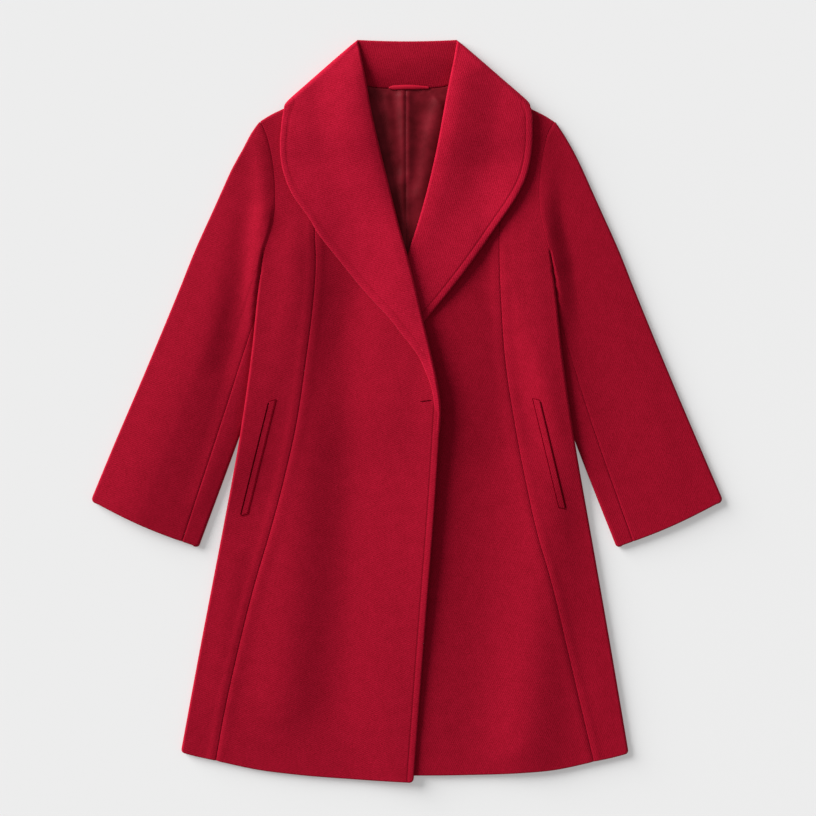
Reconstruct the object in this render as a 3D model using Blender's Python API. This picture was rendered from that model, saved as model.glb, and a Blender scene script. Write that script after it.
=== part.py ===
"""Shawl collar coat laid flat on its back, as a Blender script. +Z is up, +Y runs towards the collar.

The coat is the set of pieces that a maker cuts and sews, each one a wall of cloth. Every piece is a grid
of points in the middle of its cloth, worked out from the tables below, and a Solidify modifier gives it
its thickness. The tables are in millimetres. Right and left are the wearer's: the right half lies at -X
and laps over the left half. Distances from the middle are positive on their own half and negative past it.
"""

import bpy
import numpy as np

MM = 0.001
RIGHT, LEFT = -1, 1
NAMES = {RIGHT: "right", LEFT: "left"}

CLOTH = 2.4
COLLAR_CLOTH = 3.0
LINING_CLOTH = 0.8
SEAM_GAP = 0.3
FOLD_RADIUS = 2.1
LAYER_RISE = 2 * FOLD_RADIUS
HEM_Y = -500

# Outer edge of the body, from the shoulder tip down the armhole seam, then down the side fold to the hem.
# Columns: y, distance from the middle on the right half, and on the left half.
BODY_EDGE = (
    (389.5, 197.5, 198.5),
    (374, 190.5, 190.5),
    (350, 184, 184.5),
    (320, 179.5, 179.8),
    (290, 177.8, 178.2),
    (265, 179, 180),
    (240, 184, 185),
    (214, 192.5, 191.8),
    (175, 198.5, 197.7),
    (75, 209.3, 208.8),
    (-38, 225.5, 225),
    (-161, 248.4, 247),
    (-323, 279.5, 275.4),
    (-460, 305, 298.8),
)
ARMHOLE_END_Y = 214
SIDE_FOLD_Y = 184

# Rows of the body's panels, matched across each seam. Columns: y at the armhole or side, y at the princess
# seam, y at the gorge or front edge. The hem adds the last row.
ROWS = (
    (387, 422.3, 439.6),
    (374, 408, 424),
    (350, 385, 405),
    (320, 355, 378),
    (290, 325, 350),
    (265, 296, 320),
    (240, 268, 290),
    (226, 250, 266),
    (214, 235, 246),
    (205, 222, 228),
    (196, 208, 210),
    (190, 200, 200),
    (184, 192, 190),
    (152, 156, 156),
    (110, 112, 116),
    (68, 70, 76),
    (34, 36, 42),
    (8, 10, 6),
    (2, 3, 3),
    (-55, -56, -58),
    (-105, -108, -112),
    (-165, -170, -175),
    (-260, -268, -278),
    (-370, -378, -392),
)

# Seam between the centre front and the side front. Columns: y, right, left.
PRINCESS = (
    (426, 118, 118),
    (330, 123, 122.5),
    (245, 124.2, 124.2),
    (196, 122.8, 124.8),
    (144, 126.5, 127),
    (63, 136.6, 133),
    (-18, 148.8, 145.3),
    (-91, 165, 159),
    (-168, 185.5, 176),
    (-225, 202.6, 192.5),
    (-322, 227.3, 216),
    (-417, 247.9, 238.5),
    (-472, 257.6, 251.5),
)

# Roll line of the collar, from the corner beside the neck down to the front edge. Columns: y, right, left.
ROLL = (
    (499, 66.2, 67.5),
    (470, 60.5, 62.6),
    (437, 54, 55.8),
    (406, 48.6, 50),
    (352, 36.5, 40),
    (298, 23, 27.5),
    (244, 9.5, 12),
    (207, -0.9, -0.5),
    (118, -22.3, -22.3),
    (74, -32.9, -32.9),
    (41, -40.2, -40.2),
    (4, -45.5, -45.5),
)
COLLAR_END_Y = 4
WING_END_Y = 6.8

# Outer edge of the collar's wing, from the shoulder to where it meets the roll. Columns: y, right, left.
COLLAR_EDGE = (
    (418.5, 160, 161),
    (406.4, 164.7, 166.2),
    (379, 169.2, 168.6),
    (354, 170.8, 167.8),
    (334, 169.2, 165.2),
    (314, 164.3, 160),
    (290, 153.9, 148.8),
    (272.6, 141.8, 138.1),
    (258.5, 131.8, 128.3),
    (241, 121.5, 116),
    (202, 91.3, 88.7),
    (155, 52.7, 52.5),
    (119, 19.7, 22.3),
    (102, 6.8, 7.5),
    (85, -6.8, -6.8),
    (71, -16.2, -16.2),
    (53, -24.3, -24.3),
    (36, -31.1, -31.1),
    (4, -37.7, -37.7),
)

# Front edge below the collar. Columns: y, right, left.
FRONT_EDGE = ((4, -45.5, -45.5), (-118, -37.8, -37.8), (-282, -25.2, -25.2), (-500, -8.8, -8.8))

# Shoulder seam, a fold outside the collar, from the neck to the tip. Columns: distance from the middle, y.
SHOULDER = ((62, 447), (118, 426), (169, 405.7), (185, 397.8), (198, 389.6))

# Seam between the back and the neck. Columns: distance from the middle, y.
NECKLINE = ((0, 434), (40, 434.6), (54, 437), (62, 440.4))

# Hem of the fronts. Columns: distance from the middle, y on the right half, y on the left half.
HEM = (
    (-10, -500.6, -491.2),
    (75, -496, -490.7),
    (155, -489.7, -488),
    (200, -484.2, -484.2),
    (255, -472.6, -472.5),
    (305, -459.6, -459.2),
)
BACK_HEM_RISE = 4

# Lower edge of the collar's fall, hidden below the back, and how far it bows up at its ends.
FALL_Y = 385
FALL_BOW = 15

# Outer fold of the sleeve, from the shoulder tip to the cuff. Columns: y, right, left.
SLEEVE_OUTER = (
    (389.5, 199.8, 199),
    (378.7, 207.9, 206.5),
    (351.7, 222.8, 222.8),
    (324.7, 237.6, 236.3),
    (297.7, 249.8, 248.4),
    (270.7, 261.9, 260.6),
    (216.7, 286.2, 284.9),
    (162.7, 307.8, 306.5),
    (54.7, 352.4, 351),
    (-53.3, 398.3, 396.9),
    (-122, 426.6, 426.6),
)
# Inner fold of the sleeve, from the underarm, hidden below the body, to the cuff. Columns: y, right, left.
SLEEVE_INNER = ((165, 157, 157), (-53.3, 233.6, 232.2), (-184.3, 280.8, 282.5))
# End of the sleeve's head, hidden below the body past the armhole. Columns: y, distance from the middle.
SLEEVE_HEAD_END = ((214, 190), (203, 185), (190, 176), (165, 157))
SLEEVE_INNER_RADIUS = 1.4
SLEEVE_SEAM_IN = 21
CUFF_BOW = 4

# Soft folds of the cloth. Columns: x and y of one end, x and y of the other, half width, height.
FOLDS = (
    (-62, 30, -34, -400, 42, 1.3),
    (-178, -120, -190, -420, 30, 0.7),
    (-96, 170, -92, 60, 34, 0.8),
    (128, -160, 142, -420, 40, 1.4),
    (92, 120, 96, -20, 34, 0.8),
    (236, -240, 262, -420, 22, 0.5),
    (-236, -180, -262, -420, 22, 0.5),
)
FOLD_END_SOFTNESS = 0.6
# The folds fade out this far from the body's outer edge.
FOLDS_FADE = 40
SLEEVE_PUFF = 1.6

# How far the roll stands above a wing lying flat. Columns: y on the roll line, height.
ROLL_RISE = ((499, 0.8), (437, 5), (352, 7), (298, 6), (244, 3.4), (207, 1.2), (118, 0.6), (4, 0.4))
ROLL_RADIUS = 1.7
# How far the hidden leg of the roll reaches back to the front's own edge. Columns: y, distance.
ROLL_LEG = ((499, 17), (60, 17), (4, 6.5))

# How far above a panel a piece that lies on it is held.
RESTING_GAP = 0.8

# Where a panel climbs onto what lies below it: the height, how far before the lower edge the climb starts,
# and how long it is. The other sizes say where the lower piece ends, and how softly the climb fades there.
OVER_SLEEVE = {"lift": 6.4, "before": 56, "climb": 44}
OVER_SLEEVE |= {"top_y": 268, "top_fade": 44, "low_y": -160, "low_fade": 110}
OVER_FALL = {"lift": COLLAR_CLOTH + SEAM_GAP, "before": 66, "climb": 56, "half_width": 196, "side_fade": 24}
OVER_FRONT = {"lift": 3.6, "before": 50, "climb": 40}
OVER_WING = {"lift": 5.4, "before": 50, "climb": 40}
OVER_WING |= {"top_y": 300, "top_fade": 84, "low_y": -50, "low_fade": 56}
# Past the wing's outer edge the right front comes down again, but for this share of the lift.
PAST_WING = {"after": 12, "fade": 40, "kept": 0.75}

WELT = {"top_y": 13, "bottom_y": -140.5, "top_in": 180.7, "bottom_in": 218}
WELT |= {"width": 9, "cloth": 1.8, "slant": 0.24}
LOOP = {"from_x": -24.5, "to_x": 29.5, "y": 434.3, "width": 6, "cloth": 1.6, "arch": 1.6}

WOOL = (0.42, 0.006, 0.030, 1)
SATIN = (0.16, 0.012, 0.028, 1)


def curve(table, column=1):
    """A smooth function through one column of a table, against its first column."""
    rows = sorted((row[0], row[column]) for row in table)
    at = np.array([row[0] for row in rows], float)
    values = np.array([row[1] for row in rows], float)
    slopes = np.gradient(values, at)

    def value(x):
        x = np.clip(x, at[0], at[-1])
        i = np.clip(np.searchsorted(at, x) - 1, 0, len(at) - 2)
        step = at[i + 1] - at[i]
        s = (x - at[i]) / step
        start = (1 + 2 * s) * (1 - s) ** 2 * values[i] + s * (1 - s) ** 2 * step * slopes[i]
        end = s * s * (3 - 2 * s) * values[i + 1] + s * s * (s - 1) * step * slopes[i + 1]
        return start + end

    return value


def both(table):
    return {RIGHT: curve(table, 1), LEFT: curve(table, 2)}


body_edge, princess, front_edge, hem = both(BODY_EDGE), both(PRINCESS), both(FRONT_EDGE), both(HEM)
roll, collar_edge = both(ROLL), both(COLLAR_EDGE)
sleeve_outer, sleeve_inner = both(SLEEVE_OUTER), both(SLEEVE_INNER)
shoulder, neckline, sleeve_head_end = curve(SHOULDER), curve(NECKLINE), curve(SLEEVE_HEAD_END)
roll_rise, roll_leg = curve(ROLL_RISE), curve(ROLL_LEG)


def ramp(t):
    """0 below 0, 1 above 1, and a soft step between."""
    t = np.clip(t, 0, 1)
    return t * t * (3 - 2 * t)


def lerp(a, b, t):
    return a + (b - a) * t


def unit(vector):
    return vector / np.linalg.norm(vector)


# Heights of the layers, as functions of the place in plan.


def climb(past_edge, over):
    """Share of a climb that is done at this distance past the lower piece's edge."""
    return ramp((past_edge + over["before"]) / over["climb"])


def between(y, over):
    """1 where the lower piece lies, fading out past its top and its low end."""
    return ramp((over["top_y"] - y) / over["top_fade"]) * ramp((y - over["low_y"]) / over["low_fade"])


def back_height(x, y):
    """Middle of the back's cloth: flat on the ground, over the tucked sleeves and the collar's fall."""
    inner = sleeve_inner[RIGHT if x < 0 else LEFT](y)
    over_sleeve = climb(abs(x) - inner, OVER_SLEEVE) * between(y, OVER_SLEEVE)
    fall_edge = FALL_Y + FALL_BOW * (x / OVER_FALL["half_width"]) ** 2
    sides = ramp((OVER_FALL["half_width"] - abs(x)) / OVER_FALL["side_fade"])
    over_fall = climb(y - fall_edge, OVER_FALL) * sides
    return CLOTH / 2 + OVER_SLEEVE["lift"] * over_sleeve + OVER_FALL["lift"] * over_fall


def soft_folds(x, y):
    """Height of the folds at a place. They fade out more slowly along their own length than across it."""
    height = 0
    for x0, y0, x1, y1, width, peak in FOLDS:
        along = ((x - x0) * (x1 - x0) + (y - y0) * (y1 - y0)) / ((x1 - x0) ** 2 + (y1 - y0) ** 2)
        along = np.clip(along, 0, 1)
        off = np.hypot(x - lerp(x0, x1, along), (y - lerp(y0, y1, along)) * FOLD_END_SOFTNESS)
        height += peak * np.exp(-((off / width) ** 2))
    return height


def lap_lift(x, y):
    """How far the right front is lifted by the left front and by the left wing below it."""
    over_front = climb(x - gorge(y, LEFT), OVER_FRONT)
    over_wing = climb(x - roll[LEFT](y), OVER_WING) * between(y, OVER_WING)
    past_wing = ramp((x - collar_edge[LEFT](y) - PAST_WING["after"]) / PAST_WING["fade"])
    wing_lift = OVER_WING["lift"] * over_wing * lerp(1, PAST_WING["kept"], past_wing)
    return OVER_FRONT["lift"] * over_front + wing_lift


def front_height(x, y, side):
    """Middle of the front's cloth."""
    inside = ramp((body_edge[side](y) - abs(x)) / FOLDS_FADE)
    height = back_height(x, y) + LAYER_RISE + soft_folds(x, y) * inside
    return height + lap_lift(x, y) if side == RIGHT else height


def gorge(y, side):
    """Inner edge of the centre front: it follows the roll below the wing, then it is the front edge."""
    if y > COLLAR_END_Y:
        return roll[side](y) + roll_leg(y) + SEAM_GAP
    return front_edge[side](y)


# Making meshes.


def turned_edge(turn, radius, leg, length, segments=4):
    """A strip that runs flat, turns down by an angle and ends in a leg: (outward, down, reach)."""
    flat = length - radius * turn - leg
    turning = length - max(leg, 0.3 * length)
    stops = np.append(np.linspace(0, turning, segments + 1), length)
    outward, down = [], []
    for stop in stops:
        angle = np.clip((stop - flat) / radius, 0, turn)
        rest = max(0, stop - flat - radius * turn)
        outward.append(min(stop, flat) + radius * np.sin(angle) + rest * np.cos(turn))
        down.append(radius * (1 - np.cos(angle)) + rest * np.sin(turn))
    reach = flat + radius if turn > np.pi / 2 else outward[-1]
    return np.array(outward), np.array(down), reach


def material(name, colour, roughness):
    made = bpy.data.materials.new(name)
    made.use_nodes = True
    shader = made.node_tree.nodes["Principled BSDF"]
    shader.inputs["Base Color"].default_value = colour
    shader.inputs["Roughness"].default_value = roughness
    shader.inputs["Metallic"].default_value = 0
    return made


def cloth(name, grid, thickness, colour=WOOL, roughness=0.9):
    """One piece of cloth from a grid of points in the middle of its thickness, in millimetres."""
    grid = np.asarray(grid, float)
    rows, columns = grid.shape[:2]
    first, second = grid[1, 0] - grid[0, 0], grid[0, 1] - grid[0, 0]
    faces = []
    for i in range(rows - 1):
        for j in range(columns - 1):
            corner = i * columns + j
            faces.append((corner, corner + 1, corner + columns + 1, corner + columns))
    mesh = bpy.data.meshes.new(name)
    mesh.from_pydata((grid.reshape(-1, 3) * MM).tolist(), [], faces)
    if np.cross(second, first)[2] < 0:
        mesh.flip_normals()
    mesh.shade_smooth()
    mesh.set_sharp_from_angle(angle=np.radians(50))
    made = bpy.data.objects.new(name, mesh)
    bpy.context.scene.collection.objects.link(made)
    wall = made.modifiers.new("Cloth", "SOLIDIFY")
    wall.thickness = thickness * MM
    wall.offset = 0
    made.data.materials.append(material(name, colour, roughness))
    return made


# The body.

SIDE_LEG = 5.5
# Where the side front begins to turn under, its leg grows with this power of the second half of the turn.
SIDE_LEG_GROWTH = 8
SHOULDER_LEG = 3
# The curves of the shoulder and of the hem fade out into the rows between them with these powers.
SHOULDER_FADE, HEM_FADE = 12, 8
SIDE_TAIL = np.pi * FOLD_RADIUS + SIDE_LEG
FOLD_INSET = FOLD_RADIUS + CLOTH / 2
# A distance measured square to the slanting shoulder, as a difference in y.
SHOULDER_SLOPE = 1.09


def plan_point(distance, y, side):
    return np.array([side * distance, y, 0.0])


def hem_at(side, edge):
    return hem[side](edge[side](HEM_Y))


def side_turn(y):
    """How far the side front has turned under at this height: not at the armhole, all the way below it."""
    return np.pi * ramp((ARMHOLE_END_Y - y) / (ARMHOLE_END_Y - SIDE_FOLD_Y))


def shoulder_fold(top_row):
    """Rows that carry a front round the shoulder and down to the back's level, last row first."""
    out, down, _ = turned_edge(np.pi, FOLD_RADIUS, SHOULDER_LEG, np.pi * FOLD_RADIUS + SHOULDER_LEG, 3)
    along = np.gradient(top_row, axis=0)
    upward = np.stack([-along[:, 1], along[:, 0], 0 * along[:, 0]], axis=1)
    upward *= np.sign(upward[:, 1:2]) / np.linalg.norm(upward, axis=1, keepdims=True)
    return [top_row + upward * o - np.array([0, 0, d]) for o, d in zip(out[:0:-1], down[:0:-1])]


def panel_row(inner, outer, side, bend, flat_columns, turn):
    """Points across a front from its inner to its outer edge, the outer one turned under by an angle."""
    towards = unit(outer - inner)
    if turn is None:
        out, down, start = np.zeros(1), np.zeros(1), outer
    else:
        leg = SIDE_LEG * ramp((turn - np.pi / 2) / (np.pi / 2)) ** SIDE_LEG_GROWTH
        out, down, reach = turned_edge(turn, FOLD_RADIUS, leg, SIDE_TAIL)
        start = outer - towards * (reach + CLOTH / 2 * np.sin(min(turn, np.pi / 2)))
    places = [(lerp(inner, start, share), 0) for share in np.linspace(0, 1, flat_columns)[:-1]]
    places += [(start + towards * o, d) for o, d in zip(out, down)]
    row = []
    for place, drop in places:
        share = np.linalg.norm(place - inner) / np.linalg.norm(outer - inner)
        x, y = place[0], place[1] + bend(share)
        row.append((x, y, front_height(x, y, side) - drop))
    return row


def front_panel(name, side, inner_edge, inner_ys, outer_edge, outer_ys, flat_columns, turns):
    inners = [plan_point(inner_edge(y) + (SEAM_GAP / 2 if turns else 0), y, side) for y in inner_ys]
    outers = [plan_point(outer_edge(y) - SEAM_GAP / 2, y, side) for y in outer_ys]

    def shoulder_bend(share):
        x, straight = lerp(inners[0], outers[0], share)[:2]
        return shoulder(abs(x)) - FOLD_INSET * SHOULDER_SLOPE - straight

    def hem_bend(share):
        x, straight = lerp(inners[-1], outers[-1], share)[:2]
        return hem[side](side * x) - straight

    grid = []
    for inner, outer in zip(inners, outers):
        down = (outers[0][1] - outer[1]) / (outers[0][1] - outers[-1][1])

        def bend(share, down=down):
            return shoulder_bend(share) * (1 - down) ** SHOULDER_FADE + hem_bend(share) * down**HEM_FADE

        turn = side_turn(outer[1]) if turns else None
        grid.append(panel_row(inner, outer, side, bend, flat_columns, turn))
    return cloth(name, shoulder_fold(np.array(grid[0])) + grid, CLOTH)


def row_levels(column, last):
    return [row[column] for row in ROWS] + [last]


def fronts(side):
    side_ys = row_levels(0, hem_at(side, body_edge))
    seam_ys = row_levels(1, hem_at(side, princess))
    front_ys = row_levels(2, hem_at(side, front_edge))
    name = f"front_{NAMES[side]}"
    seam = princess[side]
    front_panel(f"{name}_centre", side, lambda y: gorge(y, side), front_ys, seam, seam_ys, 9, False)
    front_panel(f"{name}_side", side, seam, seam_ys, body_edge[side], side_ys, 5, True)


def back_top(distance):
    """Top of the back: the neck seam, then the hidden seam below the shoulder."""
    if distance <= NECKLINE[-1][0]:
        return neckline(distance)
    return shoulder(distance) - (FOLD_INSET + SHOULDER_LEG + 3 * SEAM_GAP) * SHOULDER_SLOPE


def back_edge(y, side):
    """Edge of the back: the armhole seam, then the side seam just inside the side fold."""
    inset = FOLD_INSET + SIDE_LEG + SEAM_GAP
    return body_edge[side](y) - lerp(SEAM_GAP / 2, inset, ramp((ARMHOLE_END_Y - y) / 12))


# Columns of the back, as distances from the middle at its top.
BACK_COLUMNS = (0, 20, 40, 54, 62, 90, 122, 152, 173)
BACK_TOP_Y = 383.5


def back_grid():
    widest = back_edge(BACK_TOP_Y, LEFT)
    shares = np.array(BACK_COLUMNS + (widest,)) / widest
    shares = np.concatenate([-shares[:0:-1], shares])
    low_y = hem_at(LEFT, body_edge) + BACK_HEM_RISE
    grid = []
    for edge_y in [BACK_TOP_Y] + row_levels(0, low_y)[1:]:
        down = (BACK_TOP_Y - edge_y) / (BACK_TOP_Y - low_y)
        row = []
        for share in shares:
            side = RIGHT if share < 0 else LEFT
            distance = back_edge(edge_y, side) * abs(share)
            high = back_top(widest * abs(share))
            low = max(hem[RIGHT](distance), hem[LEFT](distance)) + BACK_HEM_RISE
            y = lerp(high, low, down)
            row.append((side * distance, y, back_height(side * distance, y)))
        grid.append(row)
    return np.array(grid)


# The sleeves.

SLEEVE_TOP_Y = 384.8
SLEEVE_END_Y = 165
# Columns of the sleeves, as heights on the armhole seam, so that they meet the body's rows.
HEAD_YS = (SLEEVE_TOP_Y, 374, 350, 320, 290, 265, 240, 226, 214, 205)
HIND_SEAM_Y = 350
# Near the shoulder's tip the seam is up to three gaps wide, from this height over this length.
LOOSE_FROM_Y, LOOSE_OVER = 362, 20
# Rows of a sleeve, as shares of its length: close at the head, even further down.
SLEEVE_ROWS = (0, 0.05) + tuple(np.linspace(0.12, 1, 10))


def sleeve_head(y, side):
    """How far from the middle the sleeve begins: at the armhole, looser at the tip, then below the body."""
    if y < ARMHOLE_END_Y:
        return sleeve_head_end(y)
    return body_edge[side](y) + SEAM_GAP * (1 + 2 * ramp((y - LOOSE_FROM_Y) / LOOSE_OVER))


def sleeve_plan(side):
    """A function from (across, down) to a point: across is 0 at the outer fold and 1 at the inner fold."""
    outer_inset, inner_inset = FOLD_RADIUS + CLOTH / 2, SLEEVE_INNER_RADIUS + CLOTH / 2
    outer_end, inner_end = SLEEVE_OUTER[-1][0], SLEEVE_INNER[-1][0]

    def outer_fold(v):
        y = lerp(SLEEVE_TOP_Y, outer_end, v)
        return plan_point(sleeve_outer[side](y) - outer_inset * 0.9, y - outer_inset * 0.45, side)

    def inner_fold(v):
        y = lerp(SLEEVE_END_Y, inner_end, v)
        return plan_point(sleeve_inner[side](y) + inner_inset * 0.94, y + inner_inset * 0.3, side)

    def head(u):
        y = lerp(SLEEVE_TOP_Y, SLEEVE_END_Y, u)
        return plan_point(sleeve_head(y, side), y, side)

    def cuff(u):
        point = lerp(outer_fold(1), inner_fold(1), u)
        point[1] -= CUFF_BOW * np.sin(np.pi * u)
        return point

    def plan(u, v):
        between_folds = lerp(outer_fold(v), inner_fold(v), u)
        between_ends = lerp(head(u), cuff(u), v)
        corners = lerp(lerp(outer_fold(0), inner_fold(0), u), lerp(outer_fold(1), inner_fold(1), u), v)
        return between_folds + between_ends - corners

    return plan


def sleeve_rise(u, v):
    """Height of the upper layer above the lower one."""
    folds = 2 * lerp(FOLD_RADIUS, SLEEVE_INNER_RADIUS, u)
    return folds + SLEEVE_PUFF * np.sin(np.pi * u) ** 1.5 * ramp(v / 0.25)


def sleeve_piece(name, plan, above, fold_at, below):
    """One piece of a sleeve: over the top, round one fold and back below."""
    radius = SLEEVE_INNER_RADIUS if fold_at else FOLD_RADIUS
    grid = []
    for v in SLEEVE_ROWS:
        edge = plan(fold_at, v)
        outward = unit(edge - plan(abs(fold_at - 0.05), v))
        row = [plan(u, v) + (0, 0, CLOTH / 2 + sleeve_rise(u, v)) for u in above]
        for angle in np.linspace(0, np.pi, 5):
            turned = outward * radius * np.sin(angle)
            row.append(edge + turned + (0, 0, CLOTH / 2 + radius * (1 + np.cos(angle))))
        row += [plan(u, v) + (0, 0, CLOTH / 2) for u in below]
        grid.append(row)
    return cloth(name, grid, CLOTH)


def sleeves(side):
    plan = sleeve_plan(side)
    width = np.linalg.norm(plan(0, 1) - plan(1, 1))
    seam, gap = 1 - SLEEVE_SEAM_IN / width, SEAM_GAP / 2 / width
    hind = (SLEEVE_TOP_Y - HIND_SEAM_Y) / (SLEEVE_TOP_Y - SLEEVE_END_Y)
    columns = [(SLEEVE_TOP_Y - y) / (SLEEVE_TOP_Y - SLEEVE_END_Y) for y in HEAD_YS]
    over = [seam - gap] + [u for u in columns[::-1] if 0 < u < seam - 0.01]
    under = [u for u in columns[::-1] if u > hind + 0.01] + [hind + gap]
    name = f"sleeve_{NAMES[side]}"
    sleeve_piece(f"{name}_top", plan, over, 0, [u for u in columns if 0 < u < hind - 0.01] + [hind - gap])
    sleeve_piece(f"{name}_under", plan, [seam + gap, (1 + seam) / 2], 1, under)


# The collar.

FOLD_CORNER = {RIGHT: (72, 495.5), LEFT: (72.5, 495.5)}
FOLD_END = {RIGHT: (160, 418.5), LEFT: (161, 418.5)}
COLLAR_LEG = 9
# Rows of a wing, as shares of its length: close together where the roll begins to turn.
WING_ROWS = tuple(np.linspace(0, 0.14, 8)) + tuple(np.linspace(0.18, 1, 16))
# Where the wing's first row below the shoulder fold starts, on the roll and on the outer edge.
WING_ROLL_TOP_Y, WING_EDGE_TOP_Y = 489, 404.5
# The roll begins to turn under at this height, and has turned all the way this much lower. Its hidden leg
# grows with this power of the turn.
ROLL_TURN_Y, ROLL_TURN_OVER, ROLL_LEG_GROWTH = 468, 44, 4
ROLL_LEAST_LENGTH = 8
# A row of the wing rises from its outer edge to the roll with this power.
WING_RISE = 1.5


def by_length(of, top, bottom, side):
    """The points where the wing's rows meet an edge that is a function of y."""
    ys = np.linspace(top, bottom, 2000)
    points = np.array([plan_point(of(y), y, side) for y in ys])
    steps = np.linalg.norm(np.diff(points, axis=0), axis=1)
    run = np.concatenate([[0], np.cumsum(steps)])
    return [points[np.argmin(np.abs(run - run[-1] * share))] for share in WING_ROWS]


def wing_height(point, side, lift):
    rest = (CLOTH + COLLAR_CLOTH) / 2 + RESTING_GAP
    return front_height(point[0], point[1], side) + rest + lift


def reach_to_gorge(at_roll, towards, side):
    """How far back from the roll, along the row, the front's own edge lies."""
    reach = roll_leg(at_roll[1])
    for _ in range(12):
        end = at_roll - towards * reach
        beyond = side * end[0] - roll[side](end[1]) - roll_leg(end[1])
        reach -= beyond / abs(towards[0])
    return reach


def wing_row(at_roll, at_edge, side, columns=8):
    """One row of a wing, from its outer edge to the roll, then round it and back to the front's edge."""
    towards = unit(at_roll - at_edge)
    lift = roll_rise(at_roll[1])
    turn_share = ramp((ROLL_TURN_Y - at_roll[1]) / ROLL_TURN_OVER)
    reach_back = reach_to_gorge(at_roll, towards, side)
    end = at_roll - towards * reach_back
    above_end = wing_height(at_roll, side, lift) - 2 * ROLL_RADIUS - front_height(end[0], end[1], side)
    slope = np.arctan2(above_end, reach_back - ROLL_RADIUS - COLLAR_CLOTH / 2)
    turn = max(0.05, (np.pi - slope) * turn_share)
    # The leg's end is tilted, so it stops short of the front's edge by a share of the cloth's thickness.
    bend_run = ROLL_RADIUS * (1 - np.sin(slope)) + COLLAR_CLOTH / 2 * (1 + np.sin(slope)) + SEAM_GAP / 2
    leg = (reach_back - bend_run) / np.cos(slope) * turn_share**ROLL_LEG_GROWTH
    length = max(ROLL_RADIUS * turn + leg, ROLL_LEAST_LENGTH)
    out, down, reach = turned_edge(turn, ROLL_RADIUS, leg, length)
    thick = COLLAR_CLOTH / 2 * np.sin(min(turn, np.pi / 2))
    start = at_roll - towards * (reach + thick)
    row = []
    for share in np.linspace(0, 1, columns)[:-1]:
        point = lerp(at_edge, start, share)
        point[2] = wing_height(point, side, lift * share**WING_RISE)
        row.append(point)
    base = wing_height(start, side, lift)
    for o, d in zip(out, down):
        point = start + towards * o
        point[2] = base - d
        row.append(point)
    return row


def wing(side):
    """The collar's front part: below at the shoulder, round its fold, then down to the front edge."""
    at_rolls = by_length(roll[side], WING_ROLL_TOP_Y, WING_END_Y, side)
    at_edges = by_length(collar_edge[side], WING_EDGE_TOP_Y, WING_END_Y, side)
    top = [wing_row(a, b, side) for a, b in zip(at_rolls, at_edges)]
    first = np.array(top[0])
    corner, end = plan_point(*FOLD_CORNER[side], side), plan_point(*FOLD_END[side], side)
    along = unit(end - corner)
    outward = np.array([along[1] * side * -1, along[0] * side, 0.0])
    outward *= np.sign(outward[1])
    floor = COLLAR_CLOTH / 2
    wrapped = []
    for angle in np.linspace(0, np.pi, 6)[1:]:
        row = []
        for point in first:
            radius = (point[2] - floor) / 2
            base = point.copy()
            share = np.dot(base - corner, along)
            base[:2] = (corner + along * share - outward * (radius + COLLAR_CLOTH / 2))[:2]
            moved = base + outward * radius * np.sin(angle)
            moved[2] = floor + radius * (1 + np.cos(angle))
            row.append(moved)
        wrapped.append(row)
    under = [[p - outward * COLLAR_LEG for p in wrapped[-1]]]
    rows = under + wrapped[::-1] + top
    return cloth(f"collar_{NAMES[side]}", rows, COLLAR_CLOTH)


# Half width of the stand, then of the fall behind it. Columns: y, half width.
STAND_WIDTH = ((434, 57), (447, 60), (458, 72), (480, 71), (490, 64.5), (497, 65))
FALL_WIDTH = ((497, 65.5), (484, 57.5), (418, 130.5), (402, 134), (385, 131))
# Columns of the stand, as the back's columns along the neck seam.
STAND_COLUMNS = (0, 20, 40, 54, 57)
# Top of the coat, and how far the top of the stand dips at its ends.
COLLAR_TOP_Y = 499.9
STAND_DIP = 2
STAND_PUFF = 0.8


def collar_back():
    """The collar behind the neck: the stand, its turn at the top, and the fall below, on the ground."""
    stand_width, fall_width = curve(STAND_WIDTH), curve(FALL_WIDTH)
    shares = np.array(STAND_COLUMNS) / STAND_COLUMNS[-1]
    shares = np.concatenate([-shares[:0:-1], shares])
    floor = COLLAR_CLOTH / 2
    top_y = COLLAR_TOP_Y - COLLAR_CLOTH / 2 - ROLL_RADIUS
    grid = []
    for v in np.linspace(0, 1, 6):
        row = []
        for share in shares:
            x = share * stand_width(lerp(NECKLINE[0][1], top_y, v))
            low = neckline(abs(x)) + SEAM_GAP
            y = lerp(low, top_y - STAND_DIP * (1 - share**2), v)
            row.append((x, y, floor + 2 * ROLL_RADIUS + STAND_PUFF * np.sin(np.pi * v) * (1 - share**2)))
        grid.append(row)
    for angle in np.linspace(0, np.pi, 6)[1:]:
        row = []
        for share in shares:
            y = top_y - STAND_DIP * (1 - share**2) + ROLL_RADIUS * np.sin(angle)
            row.append((share * stand_width(top_y), y, floor + ROLL_RADIUS * (1 + np.cos(angle))))
        grid.append(row)
    for v in np.linspace(0, 1, 7)[1:]:
        row = []
        for share in shares:
            low = FALL_Y + FALL_BOW * share**2
            y = lerp(top_y - STAND_DIP * (1 - share**2), low, v)
            row.append((share * fall_width(y), y, floor))
        grid.append(row)
    return cloth("collar_back", grid, COLLAR_CLOTH)


# The lining, the loop and the pockets.


LINING_ROWS = 14
LINING_COLUMNS = 5
LINING_SEAM_X = -1.4


def lining(side, back_points):
    """One half of the lining behind the neck opening: the back's own points, moved out."""
    middle = back_points.shape[1] // 2
    grid = back_points[: LINING_ROWS + 1, middle : middle + side * LINING_COLUMNS : side].copy()
    grid[:, 0, 0] = LINING_SEAM_X + side * SEAM_GAP / 2
    grid[..., 2] += (CLOTH + LINING_CLOTH) / 2 + SEAM_GAP
    return cloth(f"lining_{NAMES[side]}", grid, LINING_CLOTH, SATIN, 0.35)


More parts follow.
